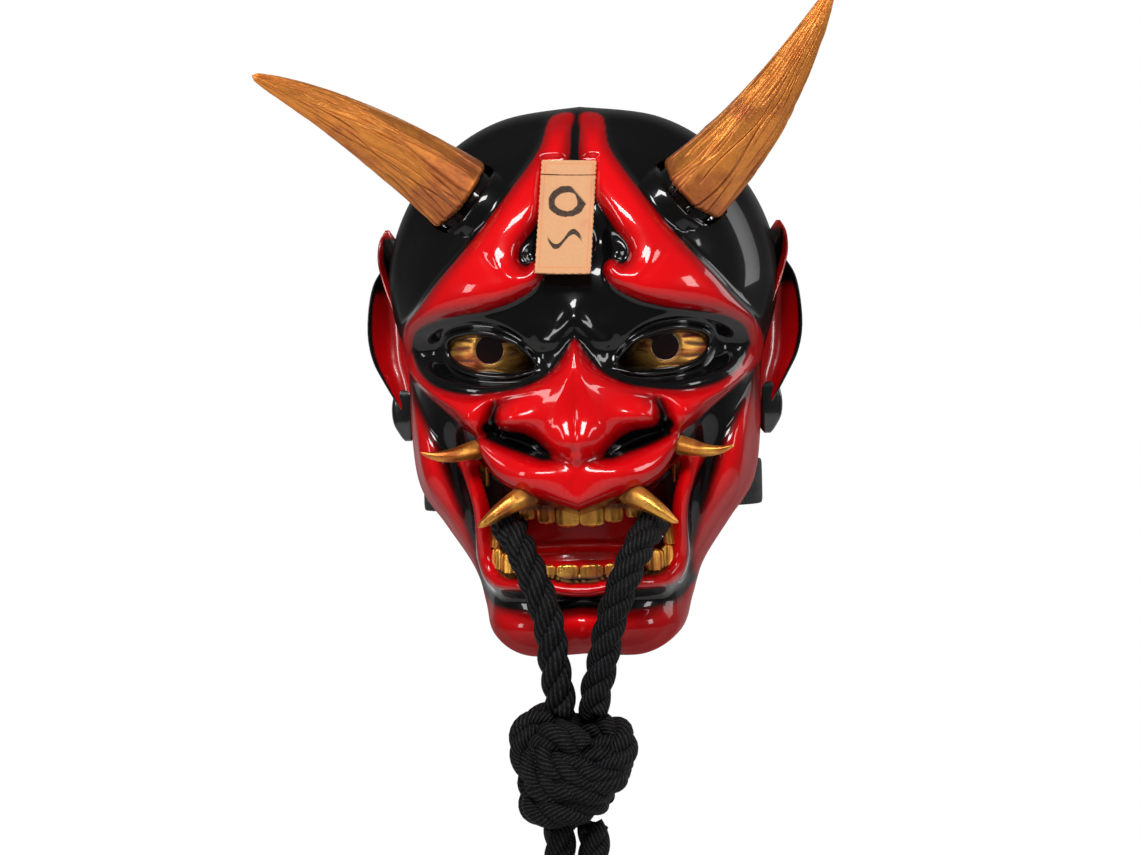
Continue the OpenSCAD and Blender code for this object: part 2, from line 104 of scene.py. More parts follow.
view_centre = Vector((-5.6 * mm, -60 * mm, -37.3 * mm))
view_distance = 1.6
view_width = 0.539
view_yaw = math.radians(3.4)
view_rise = math.radians(1.0)
view_roll = math.radians(-1.4)
camera = bpy.data.objects.new("camera", bpy.data.cameras.new("camera"))
studio.collection.objects.link(camera)
camera.data.lens = camera.data.sensor_width * view_distance / view_width
camera.location = view_centre + view_distance * Vector((
    math.sin(view_yaw) * math.cos(view_rise), -math.cos(view_yaw) * math.cos(view_rise), math.sin(view_rise)))
looking = (view_centre - camera.location).to_track_quat("-Z", "Y")
camera.rotation_mode = "QUATERNION"
camera.rotation_quaternion = looking @ Quaternion((0, 0, 1), view_roll)
studio.camera = camera


face_middle = Vector((0, -0.06, 0))


def soft_box(name, place, width, height, power):
    """A rectangular light at place, aimed at the face."""
    lamp = bpy.data.objects.new(name, bpy.data.lights.new(name, "AREA"))
    lamp.data.shape = "RECTANGLE"
    lamp.data.size = width
    lamp.data.size_y = height
    lamp.data.energy = power
    lamp.location = place
    lamp.rotation_mode = "QUATERNION"
    lamp.rotation_quaternion = (face_middle - lamp.location).to_track_quat("-Z", "Y")
    studio.collection.objects.link(lamp)


soft_box("box_over", (-0.15, -0.95, 0.95), 0.6, 0.3, 18)
soft_box("box_left", (-1.15, -0.8, 0.35), 0.2, 0.7, 5)
soft_box("box_right", (1.15, -0.7, 0.45), 0.2, 0.7, 5)
soft_box("box_side", (1.2, 0.45, 0.45), 0.5, 0.8, 4)


# ---------------------------------------------------------------------------------------------------
# Rope. Three strands of black yarn laid right-handed, 15 mm across. One length leaves both corners of
# the mouth, meets behind the mouth wall, hangs over the lip and is knotted under the chin in two tails.

def smooth_curve(points, steps, closed=False):
    """Curve through the points: each span blends four neighbours with cubic weights, in steps parts."""
    p = np.asarray(points, float)
    around_p = [np.roll(p, 1, 0), p, np.roll(p, -1, 0), np.roll(p, -2, 0)]
    if not closed:
        ends = np.vstack([p[:1], p, p[-1:]])
        around_p = [ends[:-3], ends[1:-2], ends[2:-1], ends[3:]]
    a, b, c, d = [q[:, None, :] for q in around_p]
    t = (np.arange(steps) / steps)[None, :, None]
    curve = 0.5 * (2 * b + (c - a) * t + (2 * a - 5 * b + 4 * c - d) * t**2 + (3 * b - a - 3 * c + d) * t**3)
    curve = curve.reshape(-1, p.shape[1])
    return curve if closed else np.vstack([curve, p[-1:]])


def even_spacing(path, step):
    """The same path with its points a step apart, measured along it."""
    along = np.concatenate([[0], np.cumsum(np.linalg.norm(np.diff(path, axis=0), axis=1))])
    wanted = np.linspace(0, along[-1], max(2, int(round(along[-1] / step)) + 1))
    return np.stack([np.interp(wanted, along, path[:, k]) for k in range(path.shape[1])], 1)


def travelling_axes(path, first=(0, 1, 0.01)):
    """Unit tangent and two unit directions across it, turned along the path without twist."""
    tangents = np.gradient(path, axis=0)
    tangents /= np.linalg.norm(tangents, axis=1)[:, None]
    across = np.empty_like(tangents)
    side = np.asarray(first, float)
    for i, tangent in enumerate(tangents):
        side = side - tangent * (side @ tangent)
        side /= np.linalg.norm(side)
        across[i] = side
    return tangents, across, np.cross(tangents, across)


def swept(path, radius, sides, shape=None, axes=None):
    """Grid of points: around each point of the path, a ring of that radius, times shape where given."""
    _, across, up = axes or travelling_axes(path)
    turn = once_round(sides)
    reach = np.broadcast_to(np.asarray(radius, float).reshape(-1, 1), (len(path), sides))
    if shape is not None:
        reach = reach * shape
    ring = np.cos(turn)[None, :, None] * across[:, None] + np.sin(turn)[None, :, None] * up[:, None]
    return path[:, None] + reach[..., None] * ring


def grid_faces(rows, cols):
    """Quads of a grid whose rows are rings, and the (across, along) place of each corner from 0 to 1."""
    i, j = np.meshgrid(np.arange(rows - 1), np.arange(cols), indexing="ij")
    left, right = i * cols + j, i * cols + (j + 1) % cols
    quads = np.stack([left, right, right + cols, left + cols], -1).reshape(-1, 4)
    u = np.stack([j, j + 1, j + 1, j], -1) / cols
    v = np.stack([i, i, i + 1, i + 1], -1) / (rows - 1)
    return quads, np.stack([u, v], -1).reshape(-1, 2)


def outward(mesh):
    """Turns every face of a closed mesh to face out."""
    work = bmesh.new()
    work.from_mesh(mesh)
    bmesh.ops.recalc_face_normals(work, faces=work.faces)
    if work.calc_volume(signed=True) < 0:
        bmesh.ops.reverse_faces(work, faces=work.faces)
    work.to_mesh(mesh)
    work.free()


def piece(name, grids):
    """One closed mesh of grids of points in metres: their rows are rings, and a point caps each end."""
    corners, faces, places, base = [], [], [], 0
    for grid in grids:
        rows, cols = grid.shape[:2]
        quads, uv = grid_faces(rows, cols)
        count = rows * cols
        j = np.arange(cols)
        n = (j + 1) % cols
        first = np.stack([n, j, j * 0 + count], 1)
        last = np.stack([count - cols + j, count - cols + n, j * 0 + count + 1], 1)
        u = np.stack([(j + 1) / cols, j / cols, (j + 0.5) / cols], 1)
        corners += [grid.reshape(-1, 3), np.stack([grid[0].mean(0), grid[-1].mean(0)])]
        faces += (quads + base).tolist() + (first + base).tolist() + (last + base).tolist()
        places += [uv, np.stack([u, np.zeros_like(u)], -1).reshape(-1, 2),
                   np.stack([u[:, [1, 0, 2]], np.ones_like(u)], -1).reshape(-1, 2)]
        base += count + 2
    mesh = bpy.data.meshes.new(name)
    mesh.from_pydata(np.vstack(corners).tolist(), [], faces)
    mesh.uv_layers.new(name="surface").data.foreach_set("uv", np.vstack(places).ravel().astype(np.float32))
    mesh.shade_smooth()
    outward(mesh)
    made = bpy.data.objects.new(name, mesh)
    studio.collection.objects.link(made)
    return made


def fitted(made, material, body, node=None):
    """Gives a piece its material and the body it rides on, and hides the CAD node it stands for."""
    made.data.materials.clear()
    made.data.materials.append(material)
    made.data.shade_smooth()
    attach(made, body)
    if node:
        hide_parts(node)
    return made


class Wire:
    """A value in a material, on which Python's own operators add the Math nodes."""

    def __init__(self, finish, socket):
        self.finish, self.socket = finish, socket

    def maths(self, operation, *others):
        """This value and others through one Math node."""
        return self.finish.node("ShaderNodeMath", {"operation": operation}, [self, *others])

    def __add__(self, other):
        return self.maths("ADD", other)

    def __mul__(self, other):
        return self.maths("MULTIPLY", other)

    def __sub__(self, other):
        return self.maths("SUBTRACT", other)

    def __rsub__(self, other):
        return (self * -1.0) + other

    __radd__ = __add__
    __rmul__ = __mul__

    def sine(self):
        return self.maths("SINE")

    def clipped(self, low=0.0, high=1.0):
        return self.finish.node("ShaderNodeClamp", {}, [self, low, high])

    def between(self, low, high):
        """0 below low, 1 above high, and a smooth step between them."""
        return self.finish.node("ShaderNodeMapRange", {"interpolation_type": "SMOOTHSTEP"}, {
            "Value": self, "From Min": low, "From Max": high})


class Finish:
    """A material for one finish, built from its principled shader outwards."""

    def __init__(self, name, **constants):
        self.material = bpy.data.materials.new(name)
        self.material.use_nodes = True
        self.tree = self.material.node_tree
        self.shader = self.tree.nodes["Principled BSDF"]
        for socket, value in constants.items():
            self.shader.inputs[socket.replace("_", " ")].default_value = value

    def node(self, kind, settings, inputs, out=0):
        """A node with its settings, its sockets filled from values or wires, and one output."""
        made = self.tree.nodes.new(kind)
        for key, value in settings.items():
            setattr(made, key, value)
        pairs = inputs.items() if isinstance(inputs, dict) else enumerate(inputs)
        for key, value in pairs:
            self.fill(made.inputs[key], value)
        return Wire(self, made.outputs[out])

    def fill(self, socket, value):
        """Links a wire to a socket, or sets a plain value on it."""
        if isinstance(value, Wire):
            self.tree.links.new(value.socket, socket)
        elif isinstance(value, tuple) and socket.type == "RGBA":
            socket.default_value = (*value, 1)
        else:
            socket.default_value = value

    def place(self):
        """Where a point is on the object, in metres."""
        return self.node("ShaderNodeTexCoord", {}, {}, "Object")

    def stretched(self, where, scale):
        return self.node("ShaderNodeMapping", {}, {"Vector": where, "Scale": scale})

    def surface(self):
        """Where a point is round and along its piece, from 0 to 1."""
        return self.node("ShaderNodeUVMap", {"uv_map": "surface"}, {})

    def split(self, where):
        parts = self.tree.nodes.new("ShaderNodeSeparateXYZ")
        self.fill(parts.inputs[0], where)
        return [Wire(self, socket) for socket in parts.outputs]

    def painted(self, name):
        """A number stored on the mesh's points."""
        return self.node("ShaderNodeAttribute", {"attribute_name": name}, {}, "Fac")

    def noise(self, where, scale, detail=3.0, rough=0.5):
        return self.node("ShaderNodeTexNoise", {}, {
            "Vector": where, "Scale": scale, "Detail": detail, "Roughness": rough})

    def mix(self, share, a, b):
        """Colour a where share is 0 and colour b where it is 1."""
        return self.node("ShaderNodeMix", {"data_type": "RGBA"}, {0: share, 6: a, 7: b}, 2)

    def bump(self, height, depth, strength):
        return self.node("ShaderNodeBump", {}, {"Height": height, "Distance": depth, "Strength": strength})

    def feeds(self, **wires):
        """Links wires to the shader's sockets of those names."""
        for socket, wire in wires.items():
            self.fill(self.shader.inputs[socket.replace("_", " ")], wire)
        return self.material


rope_d = 15 * mm
lay_length = 36 * mm
strand_r = 0.285 * rope_d
strand_out = 0.5 * rope_d - strand_r
strand_sides, strand_step = 18, 1.6 * mm


def laid_strands(path, first_turn=0.0):
    """Three tubes that wind about the path once in a lay length, a third of a turn apart."""
    path = even_spacing(path, strand_step)
    axes = travelling_axes(path)
    along = np.arange(len(path)) * strand_step
    tubes = []
    for third in range(3):
        turn = 2 * np.pi * (third / 3 + along / lay_length) + first_turn
        centre = path + strand_out * (np.cos(turn)[:, None] * axes[1] + np.sin(turn)[:, None] * axes[2])
        tubes.append(swept(centre, strand_r, strand_sides))
    return tubes


def rope_finish():
    """Dyed yarn: fine fibres slant across each strand, with a painted highlight on their crowns and black
    between.
    """
    yarn = Finish("rope_yarn", Roughness=0.6, Specular_IOR_Level=0.12)
    across, along, _ = yarn.split(yarn.surface())
    where = yarn.place()
    fuzz = yarn.noise(where, 900.0, 2.0)
    slant = (across * (2 * math.pi * 9) + along * 420.0 + fuzz * 3.0).sine()
    fibres = yarn.noise(yarn.stretched(where, (1, 1, 0.3)), 2200.0, 2.0)
    crown = (slant * 0.5 + 0.5).clipped()
    # Painted highlight: the fibres' crowns are lighter than the black between them.
    colour = yarn.mix((crown * fibres).between(0.25, 0.62), (0.0006, 0.0006, 0.0008), (0.022, 0.022, 0.025))
    return yarn.feeds(Base_Color=colour, Normal=yarn.bump(crown + fibres * 0.6, 0.0006, 0.8))


rope_paint = rope_finish()
# Routes in millimetres, as the solids have them
rope_route = np.array([
    [-10, -116, -168], [-10, -116, -160], [-12, -118, -144], [-14, -119, -126], [-20, -118, -106],
    [-28, -109, -89], [-34, -94, -82], [-34, -78, -82], [-33, -62, -82], [-24, -46, -82], [0, -38, -82],
    [24, -46, -82], [33, -62, -82], [34, -78, -82], [34, -94, -82], [29, -109, -89], [21, -118, -106],
    [14, -119, -126], [10, -118, -144], [6, -116, -160], [6, -116, -168]]) * mm
left_tail_route = np.array([
    [-11.5, -116, -218], [-11.5, -116, -228], [-11.5, -115, -245], [-13, -115, -270], [-15, -115, -300],
    [-16, -115, -320], [-16, -115, -330]]) * mm
right_tail_route = np.array([
    [4, -116, -218], [4, -116, -228], [4, -117, -245], [5, -117, -270], [6, -117, -300], [7, -117, -314],
    [7, -117, -324]]) * mm
right_hole = 13


def rope_piece(name, points, node=None):
    """A stretch of laid rope along a smooth route, and that route."""
    route = smooth_curve(points, 8)
    made = fitted(piece(name, laid_strands(route)), rope_paint, "mask", node)
    return made, even_spacing(route, 4 * mm)


left_leg, left_leg_path = rope_piece("rope_left_leg", rope_route[right_hole::-1], "rope_loop")
right_leg, right_leg_path = rope_piece("rope_right_leg", rope_route[right_hole:])
left_tail, left_tail_path = rope_piece("rope_left_tail", left_tail_route, "left_tail")
right_tail, right_tail_path = rope_piece("rope_right_tail", right_tail_route, "right_tail")


# The knot: the rope's own turns, pulled tight round its two legs, with a lobe at each upper corner.
knot_mid = np.array([-4, -116, -193]) * mm


def knot_turn(half_w, half_d, height, dip, lean, aside=0):
    """A turn of rope round the knot: an oval in plan that dips in front and leans sideways."""
    a = 2 * np.pi * np.linspace(0, 1, 40)
    x, y = half_w * np.cos(a) + aside, -half_d * np.sin(a)
    z = height - dip * np.sin(a) + lean * np.cos(a)
    return knot_mid + np.stack([x, y, z], 1) * mm


knot_routes = [
    knot_turn(17, 14, 9, 4, 3), knot_turn(19, 15, -2, 5, 3), knot_turn(15, 14, -13, 4, 2, aside=-4)]
for knot_points in (
        [[-2, 8, 22], [-12, 2, 24], [-21, -4, 19], [-22, -6, 8], [-14, -12, -2], [2, -15, -8],
         [16, -12, -4], [20, -2, 4]],
        [[4, 8, 18], [14, 2, 19], [22, -4, 15], [20, -9, 5], [8, -15, -1], [-8, -15, 4], [-14, -8, 13],
         [-6, -14, 17], [6, -14, 12]],
        [[-4, 0, 24], [-3, 2, 0], [-4, 0, -25]]):
    knot_routes.append(smooth_curve(knot_mid + np.array(knot_points) * mm, 8))
knot_strands = [tube for k, route in enumerate(knot_routes) for tube in laid_strands(route, k)]
knot = fitted(piece("rope_knot_turns", knot_strands), rope_paint, "mask", "rope_knot")


def tassel(name, node, end):
    """Combed-out yarn under a whipping of fine cord: a fluted bell that spreads downwards."""
    low, high = (np.array(corner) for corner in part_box(node))
    drop = high[2] - low[2]
    t = np.linspace(0, 1, 60)
    turn = once_round(120)
    reach = np.interp(t, [0, 0.02, 0.2, 0.24, 0.4, 0.96, 1], [6, 8.3, 8.3, 7.6, 9.6, 9.8, 5]) * mm
    wide_locks = 0.35 * mm * np.sin(31 * turn[None] + 9 * t[:, None])
    fine_locks = 0.2 * mm * np.sin(47 * turn[None] - 5 * t[:, None])
    binding = np.where(t < 0.22, 1.0, 0.0)[:, None] * 0.25 * mm * np.sin(2 * np.pi * t * 60)[:, None]
    r = reach[:, None] + np.where(t[:, None] > 0.24, wide_locks + fine_locks, binding)
    yarns = np.stack([
        end[0] + r * np.cos(turn), end[1] + r * np.sin(turn), high[2] - drop * t[:, None] + 0 * r], -1)
    return fitted(piece(name, [yarns]), rope_paint, "mask", node)


left_tassel = tassel("rope_left_tassel", "left_tassel", left_tail_route[-1])
right_tassel = tassel("rope_right_tassel", "right_tassel", right_tail_route[-1])


# ---------------------------------------------------------------------------------------------------
# Shell. One hollow casting in resin: a black skull and a red face whose flesh is swollen into folds,
# airbrushed red to black and lacquered, with painted shade on the red at the edges of the flesh, in the
# mouth and towards the rim. All its heights are in millimetres over a plain head form.

crown_top, crown_half_w, jaw_half_w, chin_half_w = 114, 92, 80, 46
centre_z, face_depth, wall = -10, 100, 4
rim_right = smooth_curve([
    [0, crown_top], [0.38 * crown_half_w, crown_top - 5], [0.66 * crown_half_w, crown_top - 19.5],
    [0.865 * crown_half_w, crown_top - 42], [0.975 * crown_half_w, crown_top - 69],
    [0.985 * crown_half_w, crown_top - 94], [0.93 * crown_half_w, -8], [jaw_half_w + 4, -42],
    [jaw_half_w, -66], [jaw_half_w - 12, -84], [chin_half_w + 9, -104], [chin_half_w + 3, -122],
    [chin_half_w - 2, -136], [chin_half_w - 18, -144], [0, -144]], 8)
rim_angle = np.arctan2(rim_right[:, 1] - centre_z, np.maximum(rim_right[:, 0], 0))[::-1]
rim_reach = np.hypot(rim_right[:, 0], rim_right[:, 1] - centre_z)[::-1]


def rim_share(x, z):
    """How far out a place is in front view: 0 in the middle of the face, 1 at the rim."""
    angle = np.arctan2(z - centre_z, np.abs(x))
    return np.minimum(1, np.hypot(x, z - centre_z) / np.interp(angle, rim_angle, rim_reach))


def form_depth(x, z):
    """Depth of the plain head form: (1 - share squared) to a power that falls from crown to chin."""
    upward = np.sin(np.arctan2(z - centre_z, np.abs(x) + 0.01))
    return face_depth * (1 - rim_share(x, z) ** 2) ** (0.325 + 0.075 * upward)


def step(value, low, high):
    """0 below low, 1 above high, and a smooth step between them."""
    t = np.clip((value - low) / (high - low), 0, 1)
    return t * t * (3 - 2 * t)


def to_stretch(x, z, a, b):
    """Distance in front view from the straight stretch between two points."""
    (ax, az), (bx, bz) = a, b
    dx, dz = bx - ax, bz - az
    t = np.clip(((x - ax) * dx + (z - az) * dz) / max(dx * dx + dz * dz, 1e-9), 0, 1)
    return np.hypot(x - ax - t * dx, z - az - t * dz)


def inside(x, z, outline):
    """Distance from an outline's edge in millimetres: positive inside it, negative outside."""
    nearest = np.full(x.shape, 1e9)
    crossings = np.zeros(x.shape, int)
    for a, b in zip(outline, np.roll(outline, -1, 0)):
        nearest = np.minimum(nearest, to_stretch(x, z, a, b))
        if b[1] != a[1]:
            crossings += ((a[1] > z) != (b[1] > z)) & (x < a[0] + (z - a[1]) * (b[0] - a[0]) / (b[1] - a[1]))
    return np.where(crossings % 2 == 1, nearest, -nearest)


def near_line(x, z, points, width, power=2):
    """1 on a smooth open line, falling away on both sides as a bell of that width."""
    line = smooth_curve(points, 6)
    nearest = np.full(x.shape, 1e9)
    for a, b in zip(line[:-1], line[1:]):
        nearest = np.minimum(nearest, to_stretch(x, z, a, b))
    return np.exp(-(nearest / width) ** power)


def swell(depth_in, height, width):
    """Rounded rise of flesh from an edge: a quarter circle of that width, with an eased foot."""
    t = 1 - np.clip(depth_in / width, 0, 1)
    return height * np.sqrt(np.maximum(0, 1 - t * t)) * step(depth_in, -0.2, 1.4)


def mound(x, z, at_x, at_z, wide, high, rise):
    """A bell-shaped hill, or a hollow if rise is negative."""
    return rise * np.exp(-((x - at_x) / wide) ** 2 - ((z - at_z) / high) ** 2)


# Outlines of the flesh on the right half, through which smooth closed lines run
outline_points = dict(
    brow=[
        [1.8, 113], [12.5, 111], [17, 94], [30, 74.5], [47, 52.5], [62, 35.5], [74, 21.5], [83, 12], [87, 3],
        [86, -8], [81, -8], [80, 1], [77, 9], [68, 13.5], [56, 16], [44, 17.5], [32, 20.5], [23, 24.5],
        [16.5, 29], [13.2, 35.5], [15, 40], [19, 40.5], [22, 38.5], [25, 41], [24.5, 47], [19, 55], [12, 66],
        [5, 79], [2, 91], [1.8, 102]],
    cheek=[
        [-4, 1], [2, 2], [8, -6], [16, -13], [26, -17], [38, -19], [52, -19.5], [66, -16], [75, -9], [80, 1],
        [84, 0], [85, -9], [76, -18], [64, -28], [52, -38], [46, -42.5], [42, -40], [40, -33], [35, -26],
        [20, -24], [-4, -26]],
    nose=[
        [-5, 4], [2, 3], [7, -6], [12, -11], [20, -15], [30, -20], [37.5, -26], [38.8, -32.5], [36.5, -37.5],
        [31, -38.5], [25, -39.5], [19, -43], [14, -48.5], [9, -53], [0, -56], [-5, -56]],
    upper_lip=[
        [-5, -50], [6, -50.5], [15, -50], [26, -46.8], [36, -43], [44, -39.5], [47.5, -40.5], [47, -47],
        [43, -54.5], [38, -60.5], [28, -67], [14, -71.5], [0, -76], [-5, -75]],
    eye_hollow=[
        [18, -9], [22, 2], [32, 10], [46, 14], [62, 13], [74, 8], [78, 0], [73, -9], [60, -15.5], [44, -17.5],
        [30, -16], [22, -12.5]],
    eye_opening=[
        [59.5, 3.0], [54, 4.8], [47, 5.2], [38, 3.8], [30, 0.0], [24, -4.4], [20.5, -8.2], [27, -8.8],
        [36, -8.8], [45, -8.0], [52, -6.4], [57.5, -4.0], [60.2, -0.4]],
    jaw_lip_outer=[
        [-5, -112.5], [20, -112.5], [39, -112], [47, -108], [50, -98], [50, -84], [51, -72], [55, -60],
        [59, -51], [54, -47], [47, -50], [40, -56], [28, -62], [-5, -66]],
    jaw_lip_inner=[
        [-5, -105], [20, -105], [35, -104.5], [41.5, -100], [43.2, -90], [43, -78], [44.5, -66], [48, -56],
        [48, -52], [42, -56], [30, -63], [-5, -68]],
    chin=[
        [-5, -121.5], [16, -122], [34, -120.5], [44, -118.5], [50, -112], [53.5, -116], [51, -128],
        [44, -139], [30, -146], [14, -144], [-5, -143]],
    jaw_side=[
        [84, -8], [92, -30], [92, -55], [84, -74], [74, -92], [62, -106], [54, -114], [50, -108],
        [49.5, -97], [52, -86], [55.5, -75], [59, -66], [62.5, -56], [66, -46], [71, -36], [77, -24]])
outlines = {name: smooth_curve(points, 6, closed=True) for name, points in outline_points.items()}


def face_parts(x, z):
    """Distances inside each outline, on the half of the face where the place is."""
    return {name: inside(np.abs(x), z, line) for name, line in outlines.items()}


def joined(a, b, soft):
    """The larger of two heights, blended over soft millimetres where they meet."""
    return 0.5 * (a + b + np.sqrt((a - b) ** 2 + soft * soft)) - 0.5 * soft


# Hills and hollows of the flesh: middle across and up, half widths across and up, and rise
hills = dict(
    brow_curl=(20, 43.5, 3.2, 2.6, 3.0), brow_over_eye=(42, 28, 20, 8, 2.6), beside_slip=(12, 50, 5, 9, -5.0),
    frown=(0, 12, 8, 10, 2.8), frown_side=(10, 16, 7, 7, -1.2), eye_corner=(17, -2, 5.5, 7, -4.5),
    cheek_bone=(60, -13, 20, 8, 3.5), cheek_ball=(48, -33, 9, 7, 4.0), cheek_hollow=(60, -50, 7, 18, -7.0),
    nose_ball=(0, -43, 11, 8.5, 6.0), nose_wing=(27, -33, 9.5, 5.5, 6.0), upper_lip=(20, -58, 15, 7, 4.0),
    chin_ball=(30, -133, 18, 9, 3.0), chin_middle=(0, -128, 2.5, 6, 1.6))
# Wrinkles and creases: the line they follow, their width, and their rise
wrinkles = dict(
    brow_crease=([[22, 36], [29, 39], [35, 36], [41, 42]], 1.3, -0.7),
    brow_cord=([[28, 32], [33, 37], [36, 43]], 1.6, 0.8),
    frown_ridge=([[0, 14], [5, 9], [10, 4], [15, 2]], 2.4, 1.5),
    wing_crease=([[38, -24], [40.5, -31], [40, -38]], 2.4, -3.0),
    nostril=([[39, -39], [30, -41.5], [22, -45], [15, -49.5]], 2.8, -5.0))


def face_relief(x, z):
    """Height of the carving over the plain head form, in millimetres."""
    ax = np.abs(x)
    d = face_parts(x, z)
    # Skull: a crease down the crown, and cords of hair that follow the brow's upper edge
    h = -2.2 * np.exp(-(ax / 2.4) ** 2) * step(z, 45, 62)
    for offset, size in ((2.0, 0.9), (4.2, 0.7), (6.4, 0.4)):
        h += size * np.exp(-((d["brow"] + offset) / 0.6) ** 2) * step(ax, 14, 20) * step(z, 46, 62)
    # Brow: thick folds that end in a curl at the middle and run down past the eye
    fold = 8.0 - 4.0 * step(z, 52, 92) - 3.0 * step(ax, 62, 80)
    h += swell(d["brow"], 1.0, 10 - 4 * step(z, 50, 80) - 4 * step(ax, 66, 80)) * fold
    for at_x, at_z, wide, high, rise in hills.values():
        h += mound(ax, z, at_x, at_z, wide, high, rise)
    for points, width, rise in wrinkles.values():
        h += rise * near_line(ax, z, points, width)
    # Eye hollow, and the two lids that ring the opening
    opening = d["eye_opening"]
    h -= 10.0 * step(d["eye_hollow"], -2, 8)
    h += 6.5 * np.exp(-((opening + 3.0) / 2.4) ** 2) * step(d["eye_hollow"], -1, 3)
    h += 2.5 * np.exp(-((opening + 2.6) / 2.6) ** 2) * step(z, 0, 6)
    h -= 1.3 * np.exp(-((opening + 6.6) / 0.9) ** 2) * step(d["eye_hollow"], 0, 4)
    h -= 0.8 * np.exp(-((opening + 4.6) / 0.5) ** 2) * step(ax, 44, 60)
    h -= 7.0 * step(opening, -1.4, 1.6)
    # Cheeks and nose are one swelling, with a sharp edge over the black hollow of the cheek
    h += swell(joined(d["cheek"], d["nose"], 5.0), 9.5, 13)
    # Ridge of the nose, which broadens downwards
    ridge_w = 5.0 + 11.0 * step(-z, 4, 34)
    h += 5.0 * np.exp(-(ax / ridge_w) ** 2) * step(-z, -6, 16) * (1 - step(-z, 44, 54))
    # Upper lip, wrinkled at the middle
    h += swell(d["upper_lip"], 10.0, 10)
    h += 0.8 * np.sin(ax * 2.1) * np.exp(-(ax / 12) ** 2) * np.exp(-((z + 66) / 4.5) ** 2)
    # Lower jaw: a thick lip round three sides of the mouth, a black groove, and a swollen chin
    lip = np.minimum(d["jaw_lip_outer"], -d["jaw_lip_inner"])
    h += swell(lip, 7.0, 4.2) * (1 - step(d["upper_lip"], -1, 2)) * (1 - step(z, -50, -42))
    h -= 4.5 * np.exp(-((z + 117) / 2.6) ** 2) * (1 - step(ax, 40, 50))
    h += swell(d["chin"], 12.0, 14) + swell(d["jaw_side"], 7.0, 9)
    # Mouth: everything inside the lips falls away
    mouth = np.minimum(d["jaw_lip_inner"], -d["upper_lip"])
    return h - 16.0 * step(mouth, -1.2, 4.0)


def jaw_forward(x, z):
    """Forward swing of the lower face: full between the lips and the chin, gone at the rim."""
    return 16 * step(-z, 30, 110) * np.exp(-(x / 52) ** 2) * step(1 - rim_share(x, z), 0.0, 0.16)


spokes, face_rings, inner_rings = 480, 132, 26
loop_t = once_round(spokes)
spoke_angle = np.pi / 2 - loop_t
spoke_right = np.arctan2(np.sin(spoke_angle), np.abs(np.cos(spoke_angle)))
spoke_reach = np.interp(spoke_right, rim_angle, rim_reach)


# Where the paper slip lies on the folds: its lower end's place, its top, and how far they are flattened
slip_x, slip_low, slip_low_y, slip_top, slip_top_y = -4.6, 35, -103.5, 88, -70.5
bed_half_w, bed_slant, bed_under = 15.5, 0.044, 0.9
fuller_x, fuller_z, chin_drop = 0.045, 0.035, 6.5


def taken_in(x, z, carving, inset):
    """Points on the inside of the casting: softer carving, all drawn to the middle by inset."""
    softer = np.minimum(0.35 * carving, carving) - 1.4 * inset
    y = -(form_depth(x, z) + jaw_forward(x, z) + softer) * (1 - inset / 200)
    return np.stack([x * (1 - inset / 90), y, centre_z + (z - centre_z) * (1 - inset / 120)], -1)


def shell_rows(outs, inset):
    """Rows of points from the middle to the rim, at these shares of the way, taken in by inset."""
    flat = outs[:, None] * spoke_reach[None]
    x, z = flat * np.cos(spoke_angle), centre_z + flat * np.sin(spoke_angle)
    share = rim_share(x, z)
    carving = face_relief(x, z)
    for _ in range(2):
        carving = (np.roll(carving, 1, 1) + 2 * carving + np.roll(carving, -1, 1)) / 4
        carving[1:-1] = (carving[:-2] + 2 * carving[1:-1] + carving[2:]) / 4
    carving = carving * np.minimum(1, 9 * (1 - share))
    if inset:
        lining = taken_in(x, z, carving, inset)
        lining[..., 1] = np.minimum(lining[..., 1], 0)
        lining[-1, :, 1] = 0
        return lining
    base = np.stack([x, -(form_depth(x, z) + jaw_forward(x, z)), z], -1)
    normal = np.cross(np.roll(base, -1, 1) - np.roll(base, 1, 1), np.gradient(base, axis=0))
    normal /= np.maximum(np.linalg.norm(normal, axis=-1, keepdims=True), 1e-9)
    normal *= np.sign(-normal[..., 1:2] + 1e-9)
    skin = base + (0.6 * np.array([0, -1, 0]) + 0.4 * normal) * carving[..., None]
    fuller = step(share, 0.45, 1.0) * step(z, -15, 45)
    skin[..., 0] += fuller_x * fuller * x
    skin[..., 2] += fuller_z * fuller * np.maximum(z, 0)
    skin[..., 2] -= chin_drop * step(-z, 112, 138) * np.minimum(1, 14 * (1 - share))
    above_low = skin[..., 2] - slip_low
    from_edge = bed_half_w - np.abs(skin[..., 0] - slip_x - bed_slant * above_low)
    lies = step(from_edge, 0, 2.5) * step(above_low, -5, -1) * (1 - step(above_low, 54, 57))
    bed_y = slip_low_y + (slip_top_y - slip_low_y) / (slip_top - slip_low) * above_low + bed_under
    skin[..., 1] += lies * np.maximum(0, bed_y - skin[..., 1])
    return skin


outs = np.sin(np.linspace(0, np.pi / 2, face_rings + 1))[1:]
inner_outs = np.sin(np.linspace(0, np.pi / 2, inner_rings + 1))[1:]
skin_rows = shell_rows(outs, 0)
skin_rows[-1, :, 1] = 0
inner_rows = shell_rows(inner_outs, wall)
shell = piece("mask_shell_cast", [np.vstack([skin_rows, inner_rows[::-1]]) * mm])


